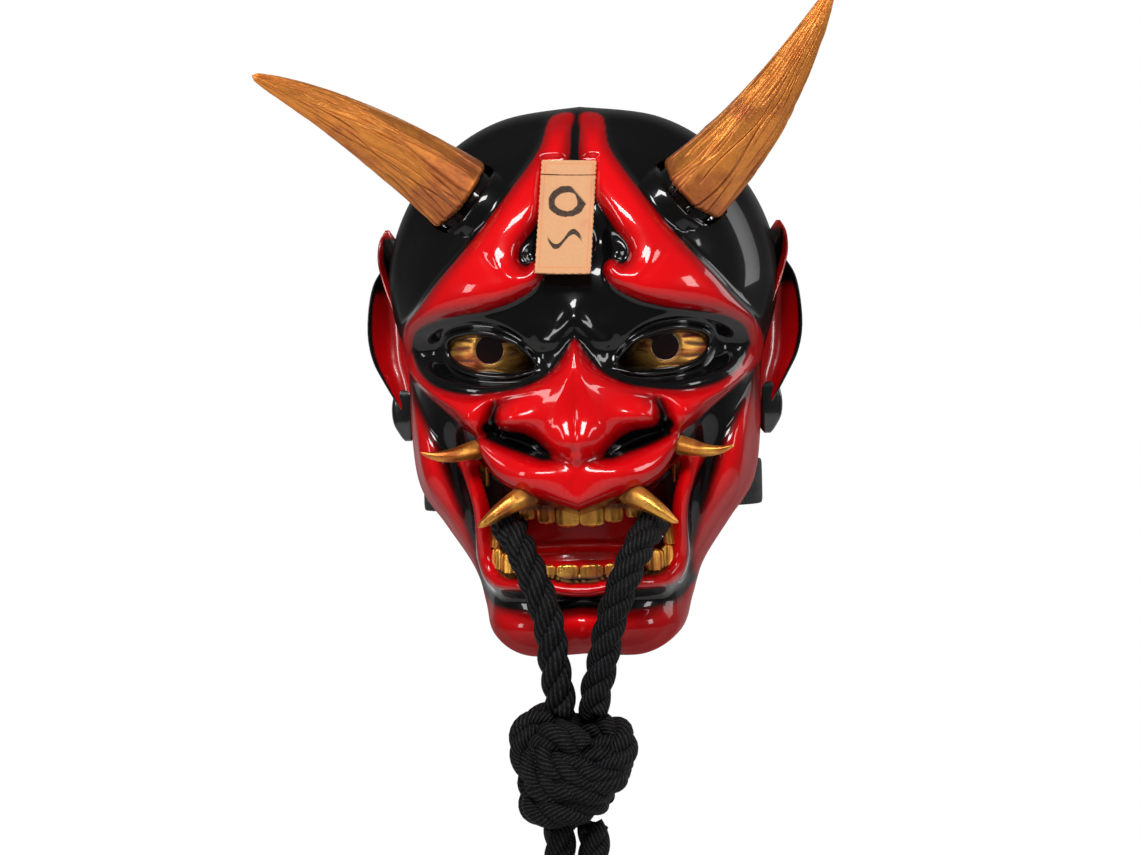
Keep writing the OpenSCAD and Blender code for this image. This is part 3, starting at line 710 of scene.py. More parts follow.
def cutter(name, outline, front, back):
    """Prism along Y of an outline in front view, for cutting an opening."""
    count = len(outline)
    ring = np.stack([outline[:, 0], outline[:, 0] * 0, outline[:, 1]], 1)
    k = np.arange(count)
    sides = np.stack([k, (k + 1) % count, (k + 1) % count + count, k + count], 1).tolist()
    mesh = bpy.data.meshes.new(name)
    mesh.from_pydata((np.vstack([ring + [0, front, 0], ring + [0, back, 0]]) * mm).tolist(), [],
                     sides + [k[::-1].tolist(), (k + count).tolist()])
    outward(mesh)
    made = bpy.data.objects.new(name, mesh)
    studio.collection.objects.link(made)
    return made


def cut_away(target, tool, how="DIFFERENCE"):
    """Takes the tool's solid out of the target, or joins it on, then throws the tool away."""
    change = target.modifiers.new("cut", "BOOLEAN")
    change.operation = how
    change.solver = "MANIFOLD"
    change.object = tool
    bpy.context.view_layer.update()
    result = bpy.data.meshes.new_from_object(target.evaluated_get(bpy.context.evaluated_depsgraph_get()))
    target.modifiers.clear()
    target.data = result
    bpy.data.objects.remove(tool)


mouth_right = smooth_curve([
    [0, -79], [14, -75], [27, -71], [37, -64], [43, -57.5], [46.8, -53.5], [45, -62], [42.6, -74],
    [42.5, -90], [39.5, -99], [32, -102.2], [0, -102.5]], 5)
mouth_loop = np.vstack([mouth_right, (mouth_right * [-1, 1])[-2:0:-1]])
cut_away(shell, cutter("mouth_tool", mouth_loop, -150, -20))
for side in (1, -1):
    cut_away(shell, cutter("eye_tool", outlines["eye_opening"] * [side, 1], -150, -20))


# Each horn stands on a boss that spreads into the skull, bored for the horn's socket
horn_x, horn_z = 54, 73
horn_lean, horn_swing, left_horn_turn = math.radians(51), math.radians(-19), math.radians(145)


def turn_z(angle):
    """Matrix of a turn about Z."""
    c, s = math.cos(angle), math.sin(angle)
    return np.array([[c, -s, 0], [s, c, 0], [0, 0, 1]])


def at_horn(points, side):
    """From a horn's own frame, in which +Z runs up its peg, to the mask's."""
    lean = np.array([[math.cos(horn_lean), 0, math.sin(horn_lean)], [0, 1, 0],
                     [-math.sin(horn_lean), 0, math.cos(horn_lean)]])
    own_turn = turn_z(left_horn_turn if side < 0 else 0.0)
    seat = np.array([horn_x, -form_depth(np.array([horn_x]), np.array([horn_z]))[0] - 1, horn_z])
    return (points @ (turn_z(horn_swing) @ lean @ own_turn).T + seat) * [side, 1, 1]


def turned(name, side, profile):
    """Solid turned about a horn's peg from a profile of radius and height."""
    a = once_round(96)
    rings = [np.stack([r * np.cos(a), r * np.sin(a), 0 * a + height], 1) for r, height in profile]
    grid = at_horn(np.concatenate(rings), side).reshape(len(profile), len(a), 3)
    return piece(name, [grid * mm])


for side in (1, -1):
    for name, how, profile in (
            ("boss", "UNION", [(23, -17), (21.4, -11), (20.2, -7), (19.4, -5), (18.6, -4.2)]),
            ("pocket", "DIFFERENCE", [(19.3, -4.2), (19.3, 16)]),
            ("pin", "UNION", [(15.8, -12), (15.8, -0.6), (15.2, -0.2)]),
            ("socket_bore", "DIFFERENCE", [(10.05, -30), (10.05, 4)])):
        cut_away(shell, turned(name, side, profile), how)


def store(target, name, values, poles=()):
    """Keeps one number for each point of a mesh, and for its poles, for its material to read."""
    layer = target.data.attributes.new(name, "FLOAT", "POINT")
    layer.data.foreach_set("value", np.concatenate([np.ravel(values), poles]).astype(np.float32))


def paint_attributes(target):
    """Stores how red each point is, how much painted shade darkens it, how near the rim it is, and what is
    inside.
    """
    count = len(target.data.vertices)
    co, facing = np.empty(count * 3, np.float32), np.empty(count * 3, np.float32)
    target.data.vertices.foreach_get("co", co)
    target.data.vertex_normals.foreach_get("vector", facing)
    x, y, z = (co.reshape(-1, 3).astype(float) / mm).T
    d = face_parts(x, z)
    ax = np.abs(x)
    share = rim_share(x, z)
    red = step(np.minimum(d["jaw_lip_outer"], -d["jaw_lip_inner"] + 2.5), -0.4, 1.6)
    for name, low, high in (("brow", -0.6, 1.4), ("cheek", -0.6, 2.4), ("nose", -0.5, 2.0),
                            ("upper_lip", -0.5, 3.0), ("chin", -0.8, 2.4), ("jaw_side", -2.5, 6.0)):
        red = np.maximum(red, step(d[name], low, high))
    red = np.maximum(red, step(np.minimum(d["jaw_lip_inner"], -d["upper_lip"]), -1.0, 2.0))
    nostril = [[42, -36], [37, -39.5], [30, -41.8], [22, -45], [16, -48.5]]
    wing_crease = [[38, -25], [40.5, -31], [41, -37]]
    red *= 1 - 0.97 * step(d["eye_opening"], -9, -4) * step(d["eye_hollow"], -1, 2)
    red *= 1 - 0.98 * near_line(ax, z, nostril, 2.9, power=4)
    # Painted shade in the crease between the nose wing and the cheek.
    red *= 1 - 0.6 * near_line(ax, z, wing_crease, 1.8)
    red *= 1 - 0.55 * np.exp(-((ax - 84) / 6.0) ** 2 - ((z + 22) / 12.0) ** 2)
    lip = np.minimum(d["jaw_lip_outer"], -d["jaw_lip_inner"] + 2.5)
    flesh = np.maximum.reduce(
        [d[name] for name in ("brow", "cheek", "nose", "upper_lip", "chin", "jaw_side")] + [2 * lip])
    # Painted shade: the red darkens at the edges of the flesh, where it falls into its hollows, inside the
    # mouth and towards the rim.
    shade = np.maximum.reduce([
        1 - step(flesh, 0, 7), 0.8 * step(d["jaw_lip_inner"], 1, 4) * step(-d["upper_lip"], 0, 3),
        0.8 * step(share, 0.84, 0.97)])
    away = np.stack([x, y + 20, z - centre_z], 1)
    away /= np.linalg.norm(away, axis=1)[:, None]
    within = step(-(facing.reshape(-1, 3) * away).sum(1), 0.2, 0.45)
    store(target, "red", red * (1 - within))
    store(target, "shade", shade)
    store(target, "within", within)
    store(target, "rim", step(share, 0.86, 0.985) * (1 - within))


paint_attributes(shell)


def lacquer_finish():
    """Airbrushed red over black under a thick clear coat, with faint orange peel and dust; the red is
    darkened by painted shade.
    """
    coat = Finish("red_and_black_lacquer", Coat_Roughness=0.05, Coat_IOR=1.4, Specular_IOR_Level=0.05)
    where = coat.place()
    red, shade = coat.painted("red"), coat.painted("shade")
    spray = coat.noise(where, 420.0, 3.0) * 0.14 - 0.07
    cloud = coat.noise(where, 26.0, 2.0)
    share = (red + spray).between(0.08, 0.9)
    bright = coat.mix(cloud, (0.50, 0.0008, 0.003), (0.68, 0.002, 0.004))
    # Painted shade: where the stored shade is high, the red is darkened to a deep red.
    dark = coat.mix((shade * 0.75).clipped(), bright, (0.11, 0.0005, 0.0015))
    colour = coat.mix(share, (0.002, 0.002, 0.0023), dark)
    peel = coat.noise(where, 150.0, 2.0)
    grit = coat.noise(where, 900.0, 1.0)
    rough = coat.noise(where, 60.0, 2.0) * 0.14 + 0.22 + (coat.painted("within") + coat.painted("rim")) * 0.3
    return coat.feeds(Base_Color=colour, Roughness=rough, Coat_Weight=coat.painted("rim") * -0.85 + 0.9,
                      Normal=coat.bump(peel + grit * 0.15, 0.00035, 0.35))


fitted(shell, lacquer_finish(), "mask", "mask_shell")


# ---------------------------------------------------------------------------------------------------
# Ears. Each is cast apart: a blade along the front edge, a hollow bowl behind it and a lobe below.
# They are black behind and red within, and the wet edges of the folds catch the light.

def there_and_back(front, back):
    """Rings of a closed sheet: along each row of the front, and back along the same row behind it."""
    return np.concatenate([front, back[:, ::-1]], 1)


leaf_cols = 22


def leaf(spine, thick):
    """Thick curved sheet: rows run down it, and each row is an arc from root to free edge and back.

    A row of the spine holds height, root x and y, free edge x and y, and how far its middle is hollowed.
    The front of an arc is root + t * (edge - root) + hollow * sin(pi * t), and the back lies thick behind.
    """
    rows = smooth_curve(spine, 12)
    t = np.linspace(0, 1, leaf_cols)[None]
    z, root_x, root_y, edge_x, edge_y, hollow = [column[:, None] for column in rows.T]
    x = root_x + t * (edge_x - root_x)
    y = root_y + t * (edge_y - root_y) + hollow * np.sin(np.pi * t)
    run = np.linspace(0, 1, len(rows))[:, None]
    slim = np.sqrt(np.clip(np.minimum(run, 1 - run) * 9, 0.02, 1))
    gap = thick * slim * np.sqrt(np.clip(1 - (2 * t - 1) ** 8, 0.03, 1))
    front = np.stack([x, y - gap / 2, z + 0 * t], -1)
    back = np.stack([x, y + gap / 2, z + 0 * t], -1)
    return there_and_back(front, back)


# Height, root x, root y, edge x, edge y, hollow, in millimetres
ear_blade = [
    [60, 94, -16, 96, -15, 0], [54, 90, -17, 99, -17, 1.5], [44, 84.5, -19, 99.3, -22, 3],
    [32, 80, -22, 96, -27, 3.5], [20, 80, -26, 91.5, -31, 3], [8, 81, -31, 88, -33.5, 1.5],
    [-2, 82, -34, 85, -35, 0.3]]
ear_bowl = [
    [43, 90, -12, 97, -12, 1], [34, 88, -15, 102.5, -14, 5], [22, 84, -19, 105, -17, 9],
    [8, 82, -22, 105.5, -19, 11], [-4, 82, -23, 103, -20, 9], [-14, 82, -22, 98, -21, 6],
    [-23, 83, -20, 93, -20, 3], [-28, 84, -19, 90, -19, 1]]
ear_lobe = [
    [-17, 84, -17, 93, -16, 0.5], [-26, 83, -17, 95, -15, -1], [-34, 83, -16, 94.5, -14, -1.5],
    [-40, 84, -14, 91.5, -13, -1], [-43, 86, -13, 89, -13, 0]]


def ear_finish():
    """The shell's lacquer: red in the hollows and along the folds' edges, black elsewhere."""
    coat = Finish("ear_lacquer", Roughness=0.25, Coat_Weight=1.0, Coat_Roughness=0.05, Coat_IOR=1.4,
                  Specular_IOR_Level=0.35)
    where = coat.place()
    spray = coat.noise(where, 300.0, 3.0) * 0.3 - 0.15
    share = (coat.painted("red") + spray).between(0.2, 0.8)
    cloud = coat.noise(where, 40.0, 2.0)
    red = coat.mix(cloud, (0.30, 0.0006, 0.002), (0.5, 0.002, 0.004))
    return coat.feeds(Base_Color=coat.mix(share, (0.0035, 0.0035, 0.004), red),
                      Roughness=coat.noise(where, 80.0, 2.0) * 0.2 + 0.15,
                      Normal=coat.bump(coat.noise(where, 160.0, 2.0), 0.0003, 0.35))


ear_paint = ear_finish()


def ear(name, side):
    """The ear's three folds as one piece, with where it is red."""
    grids = [leaf(ear_blade, 2.4), leaf(ear_bowl, 2.6), leaf(ear_lobe, 5.0)]
    made = piece(name, [grid * [side, 1, 1] * mm for grid in grids])
    red = []
    for grid, (edge_from, edge_to, inner) in zip(grids, ((0.72, 0.9, 0.0), (2.0, 3.0, 1.0), (2.0, 3.0, 0.0))):
        t = np.concatenate([np.linspace(0, 1, leaf_cols), np.linspace(1, 0, leaf_cols)])
        in_front = np.concatenate([np.ones(leaf_cols), np.zeros(leaf_cols)])
        at_edge = step(t, edge_from, edge_to)
        run = np.linspace(0, 1, len(grid))
        within = inner * in_front * (1 - step(t, 0.86, 0.95)) * step(run, 0.12, 0.3)[:, None]
        tip = (1 - step(run, 0.0, 0.22))[:, None] * (edge_from < 1)
        low = step(run, 0.7, 0.95)[:, None] * (edge_from < 1)
        reddest = np.maximum.reduce(np.broadcast_arrays(at_edge, within, tip, low))
        red += [np.clip(reddest, 0, 1).ravel(), [0, 0]]
    store(made, "red", np.concatenate(red))
    fitted(made, ear_paint, "mask", name.replace("_cast", ""))


ear("left_ear_cast", -1)
ear("right_ear_cast", 1)


# ---------------------------------------------------------------------------------------------------
# Eyes. Gilt balls behind the lids, modelled with soft creases that run out from the pupil and are
# darkened with painted shade, rubbed back to copper between them, and a dark red lens in each pupil.

def gilt_finish(name, gold, copper, dark, streaks):
    """Metallic paint: fine flake, copper showing through in streaks, and painted shade in the creases."""
    gilt = Finish(name, Metallic=0.85, Roughness=0.3, Specular_IOR_Level=0.5)
    where = gilt.place()
    flake = gilt.noise(where, 1800.0, 2.0)
    worn = gilt.noise(gilt.stretched(where, streaks), 90.0, 4.0, 0.6)
    crease = gilt.painted("crease")
    colour = gilt.mix(worn.between(0.42, 0.62), gold, copper)
    # Painted shade: the creases are darkened and made less metallic.
    colour = gilt.mix(crease.clipped(), colour, dark)
    rough = flake * 0.14 + worn * 0.16 + 0.16 + crease * 0.2
    return gilt.feeds(Base_Color=colour, Roughness=rough, Metallic=(crease * -0.9 + 0.9).clipped(),
                      Normal=gilt.bump(flake + worn * 1.5, 0.0004, 0.45))


eye_gilt = gilt_finish(
    "eye_gilt", (0.58, 0.29, 0.06), (0.34, 0.07, 0.025), (0.05, 0.012, 0.006), (0.5, 1, 2.6))
eye_x, eye_z, eye_length, eye_height, eye_tilt = 41, -1, 44, 16, math.radians(12)
eye_lap, eye_outer_reach, eye_outer_sink = 3.6, 20.4, 9.0
eye_front, eye_ball_r, eye_proud, pupil_r, pupil_up = 80, 40, 3, 6.5, 1


def eye_ball(name, side):
    """Almond patch of a ball: depth = ball's front + creases, closed by the same patch 3 mm behind."""
    t = np.linspace(-1, 1, 90)[:, None]
    s = np.linspace(-1, 1, 40)[None]
    reach = eye_length / 2 + eye_lap
    half = (eye_height / 2 + eye_lap) * np.maximum(1 - np.abs(t) ** 2.6, 0) ** 0.5
    u = t * np.where(t > 0, eye_outer_reach, reach) + 0 * s
    v = np.maximum(half, 0.05) * s
    x = u * math.cos(eye_tilt) - v * math.sin(eye_tilt)
    z = u * math.sin(eye_tilt) + v * math.cos(eye_tilt) - 0.8
    away = np.hypot(x, z - pupil_up)
    crease = np.zeros_like(x)
    for lean, off in ((0.05, 1.8), (-0.06, -2.4), (0.02, 5.2)):
        line = np.abs(z - off - lean * x - 1.2 * np.sin(x / 7 + off)) / (0.5 + 0.012 * away)
        crease = np.maximum(crease, np.exp(-line ** 2) * step(away, 7.5, 11) * (1 - step(away, 17, 23)))
    crease = np.maximum(crease, 0.8 * np.exp(-((away - pupil_r) / 0.9) ** 2))
    ball = eye_ball_r - eye_front - eye_proud - np.sqrt(eye_ball_r ** 2 - x ** 2 - z ** 2)
    ball += eye_outer_sink * np.clip((u - 5) / 21, 0, 1) ** 1.6
    front = np.stack([eye_x + x, ball + 0.6 * crease, eye_z + z], -1)
    back = np.stack([eye_x + x, ball + 3.0, eye_z + z], -1)
    made = piece(name, [there_and_back(front, back) * [side, 1, 1] * mm])
    # The creases and a ring round the pupil, stored for the gilt's painted shade.
    store(made, "crease", there_and_back(crease, crease), (0, 0))
    pupil = once_round(64)
    hole = np.stack([side * eye_x + pupil_r * np.cos(pupil), eye_z + pupil_up + pupil_r * np.sin(pupil)], 1)
    cut_away(made, cutter("pupil_tool", hole, -100, -60))
    fitted(made, eye_gilt, "mask", name.replace("_ball", ""))


eye_ball("left_eye_ball", -1)
eye_ball("right_eye_ball", 1)
tint = Finish("lens_tint", Roughness=0.12, Coat_Weight=0.4, Coat_Roughness=0.05, Specular_IOR_Level=0.3)
cloud = tint.noise(tint.place(), 200.0, 2.0)
tint.feeds(Base_Color=tint.mix(cloud, (0.005, 0.0003, 0.0006), (0.014, 0.0006, 0.001)),
           Roughness=tint.noise(tint.place(), 500.0) * 0.1 + 0.08)


# ---------------------------------------------------------------------------------------------------
# Inside the mouth. A red wall with a fold across it closes the mouth and is bored for the rope. Gilt
# teeth stand on both gums, square in the middle and long at the lower corners.

mouth_r, mouth_y, mouth_low, mouth_high, hole_x, hole_z = 60, -22, -106, -48, 34, -82
hole_r = rope_d / mm / 2 + 0.75


def mouth_back():
    """Curved wall: an arc in plan, narrowed downwards, pushed forward into a fold at mid height."""
    z = np.linspace(mouth_low, mouth_high, 120)[:, None]
    half_w = np.interp(z, [mouth_low, -103, -96, -88, mouth_high], [30, 38, 46, 51, 51])
    t = np.linspace(-1, 1, 140)[None]
    x = half_w * t
    fold = 1.6 * np.exp(-((z + 92 + 0.002 * x ** 2) / 2.2) ** 2) - 1.2 * np.exp(-((z + 95.5) / 2.0) ** 2)
    ridge = 0.5 * np.sin(z * 0.9) * np.exp(-(x / 18) ** 2) * step(z, -84, -76)
    floor_run = 9.5 * step(-z, 98.5, 106)
    y = mouth_y - np.sqrt(mouth_r ** 2 - x ** 2) + 1.2 - fold - ridge - floor_run
    front = np.stack([x, y, z + 0 * x], -1)
    back = np.stack([x, y + 2.0 + fold, z + 0 * x], -1)
    made = piece("mouth_back", [there_and_back(front, back) * mm])
    ring = once_round(64)
    for x_side in (-hole_x, hole_x):
        hole = np.stack([x_side + hole_r * np.cos(ring), hole_z + hole_r * np.sin(ring)], 1)
        cut_away(made, cutter("rope_hole", hole, -100, -30))
    coat = Finish("mouth_lacquer", Roughness=0.25, Coat_Weight=0.9, Coat_Roughness=0.08, Coat_IOR=1.4)
    where = coat.place()
    height = coat.split(where)[2]
    # Painted shade: the wall is dark red at its top, under the upper lip and teeth, and bright red below.
    shade = (height + coat.noise(where, 60.0) * 0.012).between(-0.066, -0.09)
    colour = coat.mix(shade, (0.22, 0.0008, 0.002), (0.78, 0.003, 0.005))
    coat.feeds(Base_Color=colour, Roughness=coat.noise(where, 90.0) * 0.2 + 0.15,
               Normal=coat.bump(coat.noise(where, 220.0, 3.0), 0.0004, 0.4))
    fitted(made, coat.material, "mask", "mouth_wall")


mouth_back()
tooth_gilt = gilt_finish(
    "tooth_gilt", (0.78, 0.38, 0.07), (0.45, 0.13, 0.03), (0.10, 0.02, 0.008), (1, 1, 0.4))
arch_r, arch_y = 66, -28


def squared_off(wave, power):
    """A sine or cosine with its size raised to a power under 1, which squares off the circle it draws."""
    return np.sign(wave) * np.abs(wave) ** power


def tooth(x, root_z, tip_z, width, deep, forward=0.0, square=0.75):
    """One tooth on the arch: rounded-box sections, widest past the middle and rolled in at the tip."""
    t = np.linspace(0, 1, 26)[:, None]
    a = once_round(40)[None]
    grow = 0.84 + 0.22 * np.sin(np.pi * np.minimum(t * 0.8 + 0.1, 1))
    grow = grow * (1 - np.clip(t - 0.78, 0, 1) ** 2 * 6)
    ends = np.sqrt(np.clip((1 - t) * 8, 0.001, 1)) ** 0.8 * np.sqrt(np.clip(t * 20 + 0.3, 0, 1))
    cx, cy = squared_off(np.cos(a), square), squared_off(np.sin(a), square)
    across = width / 2 * cx * grow * ends
    out = deep / 2 * cy * (1 - 0.35 * t) * ends - 0.25 * np.cos(3 * np.pi * cx) * (cy > 0) * ends
    turn = math.asin(x / arch_r)
    centre_y = arch_y - arch_r * math.cos(turn) - forward
    return np.stack([
        x + across * math.cos(turn) + out * math.sin(turn),
        centre_y + across * math.sin(turn) - out * math.cos(turn),
        root_z + (tip_z - root_z) * t + 0 * across], -1)


def gum(z, half_w, radius, inward):
    """Rounded ridge along the arch, from which the teeth stand."""
    x = np.linspace(-half_w, half_w, 70)
    path = np.stack([x, arch_y - np.sqrt(arch_r ** 2 - x ** 2) + inward, z + 0 * x], 1)
    return swept(path, radius * (1 + 0.1 * np.sin(x * 0.55)), 20, axes=travelling_axes(path, (0, 0, 1)))


def teeth_row(name, node, grids):
    """A row of teeth and its gum as one piece, with painted shade where the teeth meet the gum."""
    made = piece(name, [grid * mm for grid in grids])
    points = np.concatenate([np.concatenate([grid.reshape(-1, 3), grid[[0, -1]].mean(1)]) for grid in grids])
    root = {"upper_teeth": -73.5, "lower_teeth": -106.5}[node]
    # Painted shade where the teeth meet the gum.
    store(made, "crease", 0.9 * np.exp(-((points[:, 2] - root) / 1.6) ** 2))
    fitted(made, tooth_gilt, "mask", node)


upper_row = [(-24.5, -71, -79.5, 7.5), (-15.5, -72, -81.5, 8.5), (-5.6, -73, -83, 11), (5.6, -73, -83, 11),
             (15.5, -72, -81.5, 8.5), (24.5, -71, -79.5, 7.5)]
lower_row = [(-33.8, -107, -94, 8.5), (-25, -107, -99.5, 7), (-16, -107, -100, 8.5),
             (-6.2, -107, -100, 10), (4.8, -107, -100, 10.5), (15.2, -107, -99.7, 9),
             (24.6, -107, -99.2, 7.5), (33.8, -107, -94, 8.5)]
teeth_row("upper_teeth_cast", "upper_teeth",
          [tooth(x, root, tip, width, 5.0) for x, root, tip, width in upper_row]
          + [tooth(side * 46, -53, -65, 8.0, 5.0, 2.5) for side in (-1, 1)]
          + [gum(-72.5, 30, 2.6, 1.4)])
teeth_row("lower_teeth_cast", "lower_teeth",
          [tooth(x, root, tip, width, 5.0) for x, root, tip, width in lower_row]
          + [tooth(side * 40.0, -104, -92, 7.0, 5.0) for side in (-1, 1)]
          + [tooth(side * 41.0, -92.5, -82, 6.5, 5.0) for side in (-1, 1)]
          + [gum(-106.5, 40, 2.4, 1.0)])


def point_of_gilt(name, side, route, root_r, flat):
    """Curved tooth that tapers along its route: radius = root * (1 - t) ** 0.7, flattened a little."""
    path = smooth_curve(np.array(route) * [side, 1, 1], 24)
    t = np.linspace(0, 1, len(path))
    turn = once_round(40)
    ridges = 1 + 0.03 * np.sin(7 * turn)[None] + flat * np.cos(2 * turn)[None]
    reach = np.maximum(root_r * (1 - t) ** 0.7, 0.35)
    reach[0] *= 0.6
    grid = swept(path, reach, 40, ridges)
    made = piece(name, [grid * mm])
    # Painted shade: a dark ring near the root, where the point leaves the flesh.
    rings = np.repeat(np.exp(-((t - 0.12) / 0.08) ** 2) * 0.7, 40)
    store(made, "crease", rings, (0, 0))
    fitted(made, tooth_gilt, "mask", name.replace("_cast", ""))


fang_route = [[23, -98, -67], [30, -106, -70.5], [37, -110, -75], [42.5, -111.5, -79], [46, -111.5, -81]]
tusk_route = [[44, -87.5, -45.3], [50, -94, -46.5], [58, -101, -48.3], [65.5, -104.5, -48.3],
              [72, -106, -46.5]]
for side, label in ((-1, "left"), (1, "right")):
    point_of_gilt(label + "_fang_cast", side, fang_route, 6.0, 0.06)
    point_of_gilt(label + "_tusk_cast", side, tusk_route, 5.4, 0.06)


# ---------------------------------------------------------------------------------------------------
# Horns. Each is a resin casting of grained, split wood, painted bronze gold over copper, that pulls off
# a magnetic peg. The left one is the same casting as the right, turned on its peg.

horn_length, horn_base_r, horn_bend, horn_tip, horn_taper = 120.6, 18.6, math.radians(24), 0.13, 0.8
horn_skirt, horn_splits = 3.6, 110


def horn(name, side, seed):
    """Bent cone with lengthwise splits: radius = base law - depth of each wandering groove near it."""
    rng = np.random.default_rng(seed)
    rows, cols = 230, 300
    bend_r = horn_length / horn_bend
    t = np.linspace(0, 1, rows)
    a = horn_bend * t
    path = np.stack([-bend_r * (1 - np.cos(a)), 0 * a, bend_r * np.sin(a) - horn_skirt], 1)
    radius = horn_base_r * (horn_tip * (1 - t) ** 0.3 + (1 - horn_tip) * (1 - t) ** horn_taper) + 0.5
    foot = np.sqrt(np.clip(1 - ((0.055 - t) / 0.055).clip(0, 1) ** 2.2, 0.25, 1))
    radius *= foot * (1 - 0.6 * step(t, 0.985, 1.0))
    turn = once_round(cols)
    split = np.zeros((rows, cols))
    swell_up = np.zeros((rows, cols))
    for _ in range(horn_splits):
        middle = rng.uniform(0, 2 * np.pi)
        drift = rng.uniform(-0.5, 0.5) * t
        wander = drift + 0.10 * np.sin(2 * np.pi * (rng.uniform(0.6, 2.2) * t + rng.uniform()))
        start, length = rng.uniform(-0.15, 0.85), rng.uniform(0.15, 0.6)
        lasts = step(t, start, start + 0.06) * (1 - step(t, start + length, start + length + 0.12))
        width = rng.uniform(0.010, 0.034)
        gap = np.abs((turn[None] - middle - wander[:, None] + np.pi) % (2 * np.pi) - np.pi)
        line = np.exp(-(gap / width) ** 1.6) * lasts[:, None]
        split = np.maximum(split, line * rng.uniform(0.4, 1.0))
        swell_up += 0.35 * np.exp(-((gap - 2.4 * width) / (2.2 * width)) ** 2) * lasts[:, None]
    lumps = 0.5 * np.sin(3 * turn[None] + 4 * t[:, None] + seed)
    lumps = lumps + 0.3 * np.sin(7 * turn[None] - 6 * t[:, None])
    relief = (lumps + swell_up - 1.5 * split) * (0.25 + 0.75 * (1 - t[:, None])) * step(t, 0, 0.03)[:, None]
    grid = swept(path, radius, cols, 1 + relief / np.maximum(radius, 2)[:, None])
    made = piece(name, [at_horn(grid.reshape(-1, 3), side).reshape(grid.shape) * mm])
    # The splits, stored for the painted shade that darkens them, most near the base.
    store(made, "crease", split * (0.45 + 0.55 * (1 - t[:, None])), (0, 0))
    store(made, "along", np.repeat(t, cols), (0, 1))
    cut_away(made, turned("cup_and_bore", side, [(16.6, -14), (16.6, 0.3), (7.0, 0.31), (7.0, 22)]))
    fitted(made, horn_paint, name.replace("_cast", "_body"), name.replace("_cast", ""))


def horn_finish():
    """Bronze-gold paint brushed over copper red, worn in streaks along the grain, with painted shade in the
    splits.
    """
    gilt = Finish("horn_gilt", Metallic=0.8, Roughness=0.35)
    where = gilt.place()
    crease, along = gilt.painted("crease"), gilt.painted("along")
    flake = gilt.noise(where, 1500.0, 2.0)
    patch = gilt.noise(where, 38.0, 4.0, 0.65)
    fine = gilt.noise(where, 420.0, 4.0, 0.7)
    gold = gilt.mix(fine, (0.66, 0.205, 0.035), (0.86, 0.33, 0.07))
    copper = gilt.mix(fine, (0.42, 0.11, 0.03), (0.62, 0.20, 0.06))
    share = (patch + (along * -0.9 + 0.25).clipped(-0.1, 0.3) * 0.6).between(0.45, 0.66)
    colour = gilt.mix(share, gold, copper)
    # Painted shade in the splits.
    colour = gilt.mix((crease * 0.85).clipped(), colour, (0.07, 0.018, 0.006))
    return gilt.feeds(Base_Color=colour, Metallic=(crease * -0.85 + 0.85).clipped(),
                      Roughness=flake * 0.12 + fine * 0.2 + 0.22 + crease * 0.2,
                      Normal=gilt.bump(fine + flake * 0.5, 0.0006, 0.5))


horn_paint = horn_finish()
horn("left_horn_cast", -1, 11)
horn("right_horn_cast", 1, 4)


# ---------------------------------------------------------------------------------------------------
# Paper slip. Tea-coloured handmade paper, brushed with a ring and a stroke in black ink inside a thin
# ruled border, glued down by its top edge and free to lift below it.

slip_tilt, tab_h, slip_w, slip_t, slip_lift = math.radians(2.5), 8, 26, 0.5, 0.1
slip_lean = -math.atan2(slip_top_y - slip_low_y, slip_top - slip_low)
slip_reach = math.hypot(slip_top_y - slip_low_y, slip_top - slip_low)


def at_slip(points):
    """From the slip's own frame, X across it and Z up it, to the mask's."""
    lean = np.array([[1, 0, 0], [0, math.cos(slip_lean), -math.sin(slip_lean)],
                     [0, math.sin(slip_lean), math.cos(slip_lean)]])
    tilt = np.array([[math.cos(slip_tilt), 0, math.sin(slip_tilt)], [0, 1, 0],
                     [-math.sin(slip_tilt), 0, math.cos(slip_tilt)]])
    return points @ (tilt @ lean).T + [slip_x, slip_low_y, slip_low]


def paper_finish():
    """Fibrous paper with foxing, a ruled border, and brush strokes whose edges follow the fibres."""
    paper = Finish("slip_paper", Roughness=0.85, Specular_IOR_Level=0.2)
    where = paper.place()
    across, up = paper.painted("across"), paper.painted("up")
    fibre = paper.noise(paper.stretched(where, (1, 1, 0.35)), 900.0, 4.0, 0.7)
    stain = paper.noise(where, 55.0, 4.0, 0.6)
    colour = paper.mix(fibre, (0.50, 0.25, 0.12), (0.60, 0.33, 0.17))
    colour = paper.mix(stain.between(0.5, 0.75) * 0.6, colour, (0.52, 0.17, 0.10))
    edge_x = (across.maths("ABSOLUTE") * -1.0) + slip_w / 2
    edge_z = (up - slip_reach / 2).maths("ABSOLUTE") * -1.0 + slip_reach / 2
    edge = edge_x.maths("MINIMUM", edge_z)
    border = (edge - 1.9).maths("ABSOLUTE").between(0.42, 0.15)
    colour = paper.mix(border * 0.55, colour, (0.62, 0.17, 0.06))
    ring_up = up - 39.0
    ring = ((across * across + ring_up * ring_up).maths("SQRT") - 7.0).maths("ABSOLUTE")
    rough_edge = fibre * 0.9 + paper.noise(where, 160.0, 2.0) * 2.0 + 0.35
    gap = (across * 0.8 + ring_up * 0.6).between(7.3, 6.0)
    enso = (ring - rough_edge).between(0.15, -0.35) * gap
    wave = (up - 18.0 - (across * 0.40).sine() * 4.4).maths("ABSOLUTE")
    swoosh = (wave - rough_edge * 0.9).between(0.1, -0.4) * across.maths("ABSOLUTE").between(8.6, 6.6)
    ink = enso.maths("MAXIMUM", swoosh) * (fibre * 0.3 + 0.78).clipped()
    colour = paper.mix(ink, colour, (0.012, 0.011, 0.012))
    return paper.feeds(Base_Color=colour, Roughness=fibre * 0.2 + 0.7,
                       Normal=paper.bump(fibre + stain * 0.5, 0.0003, 0.5))


slip_paint = paper_finish()


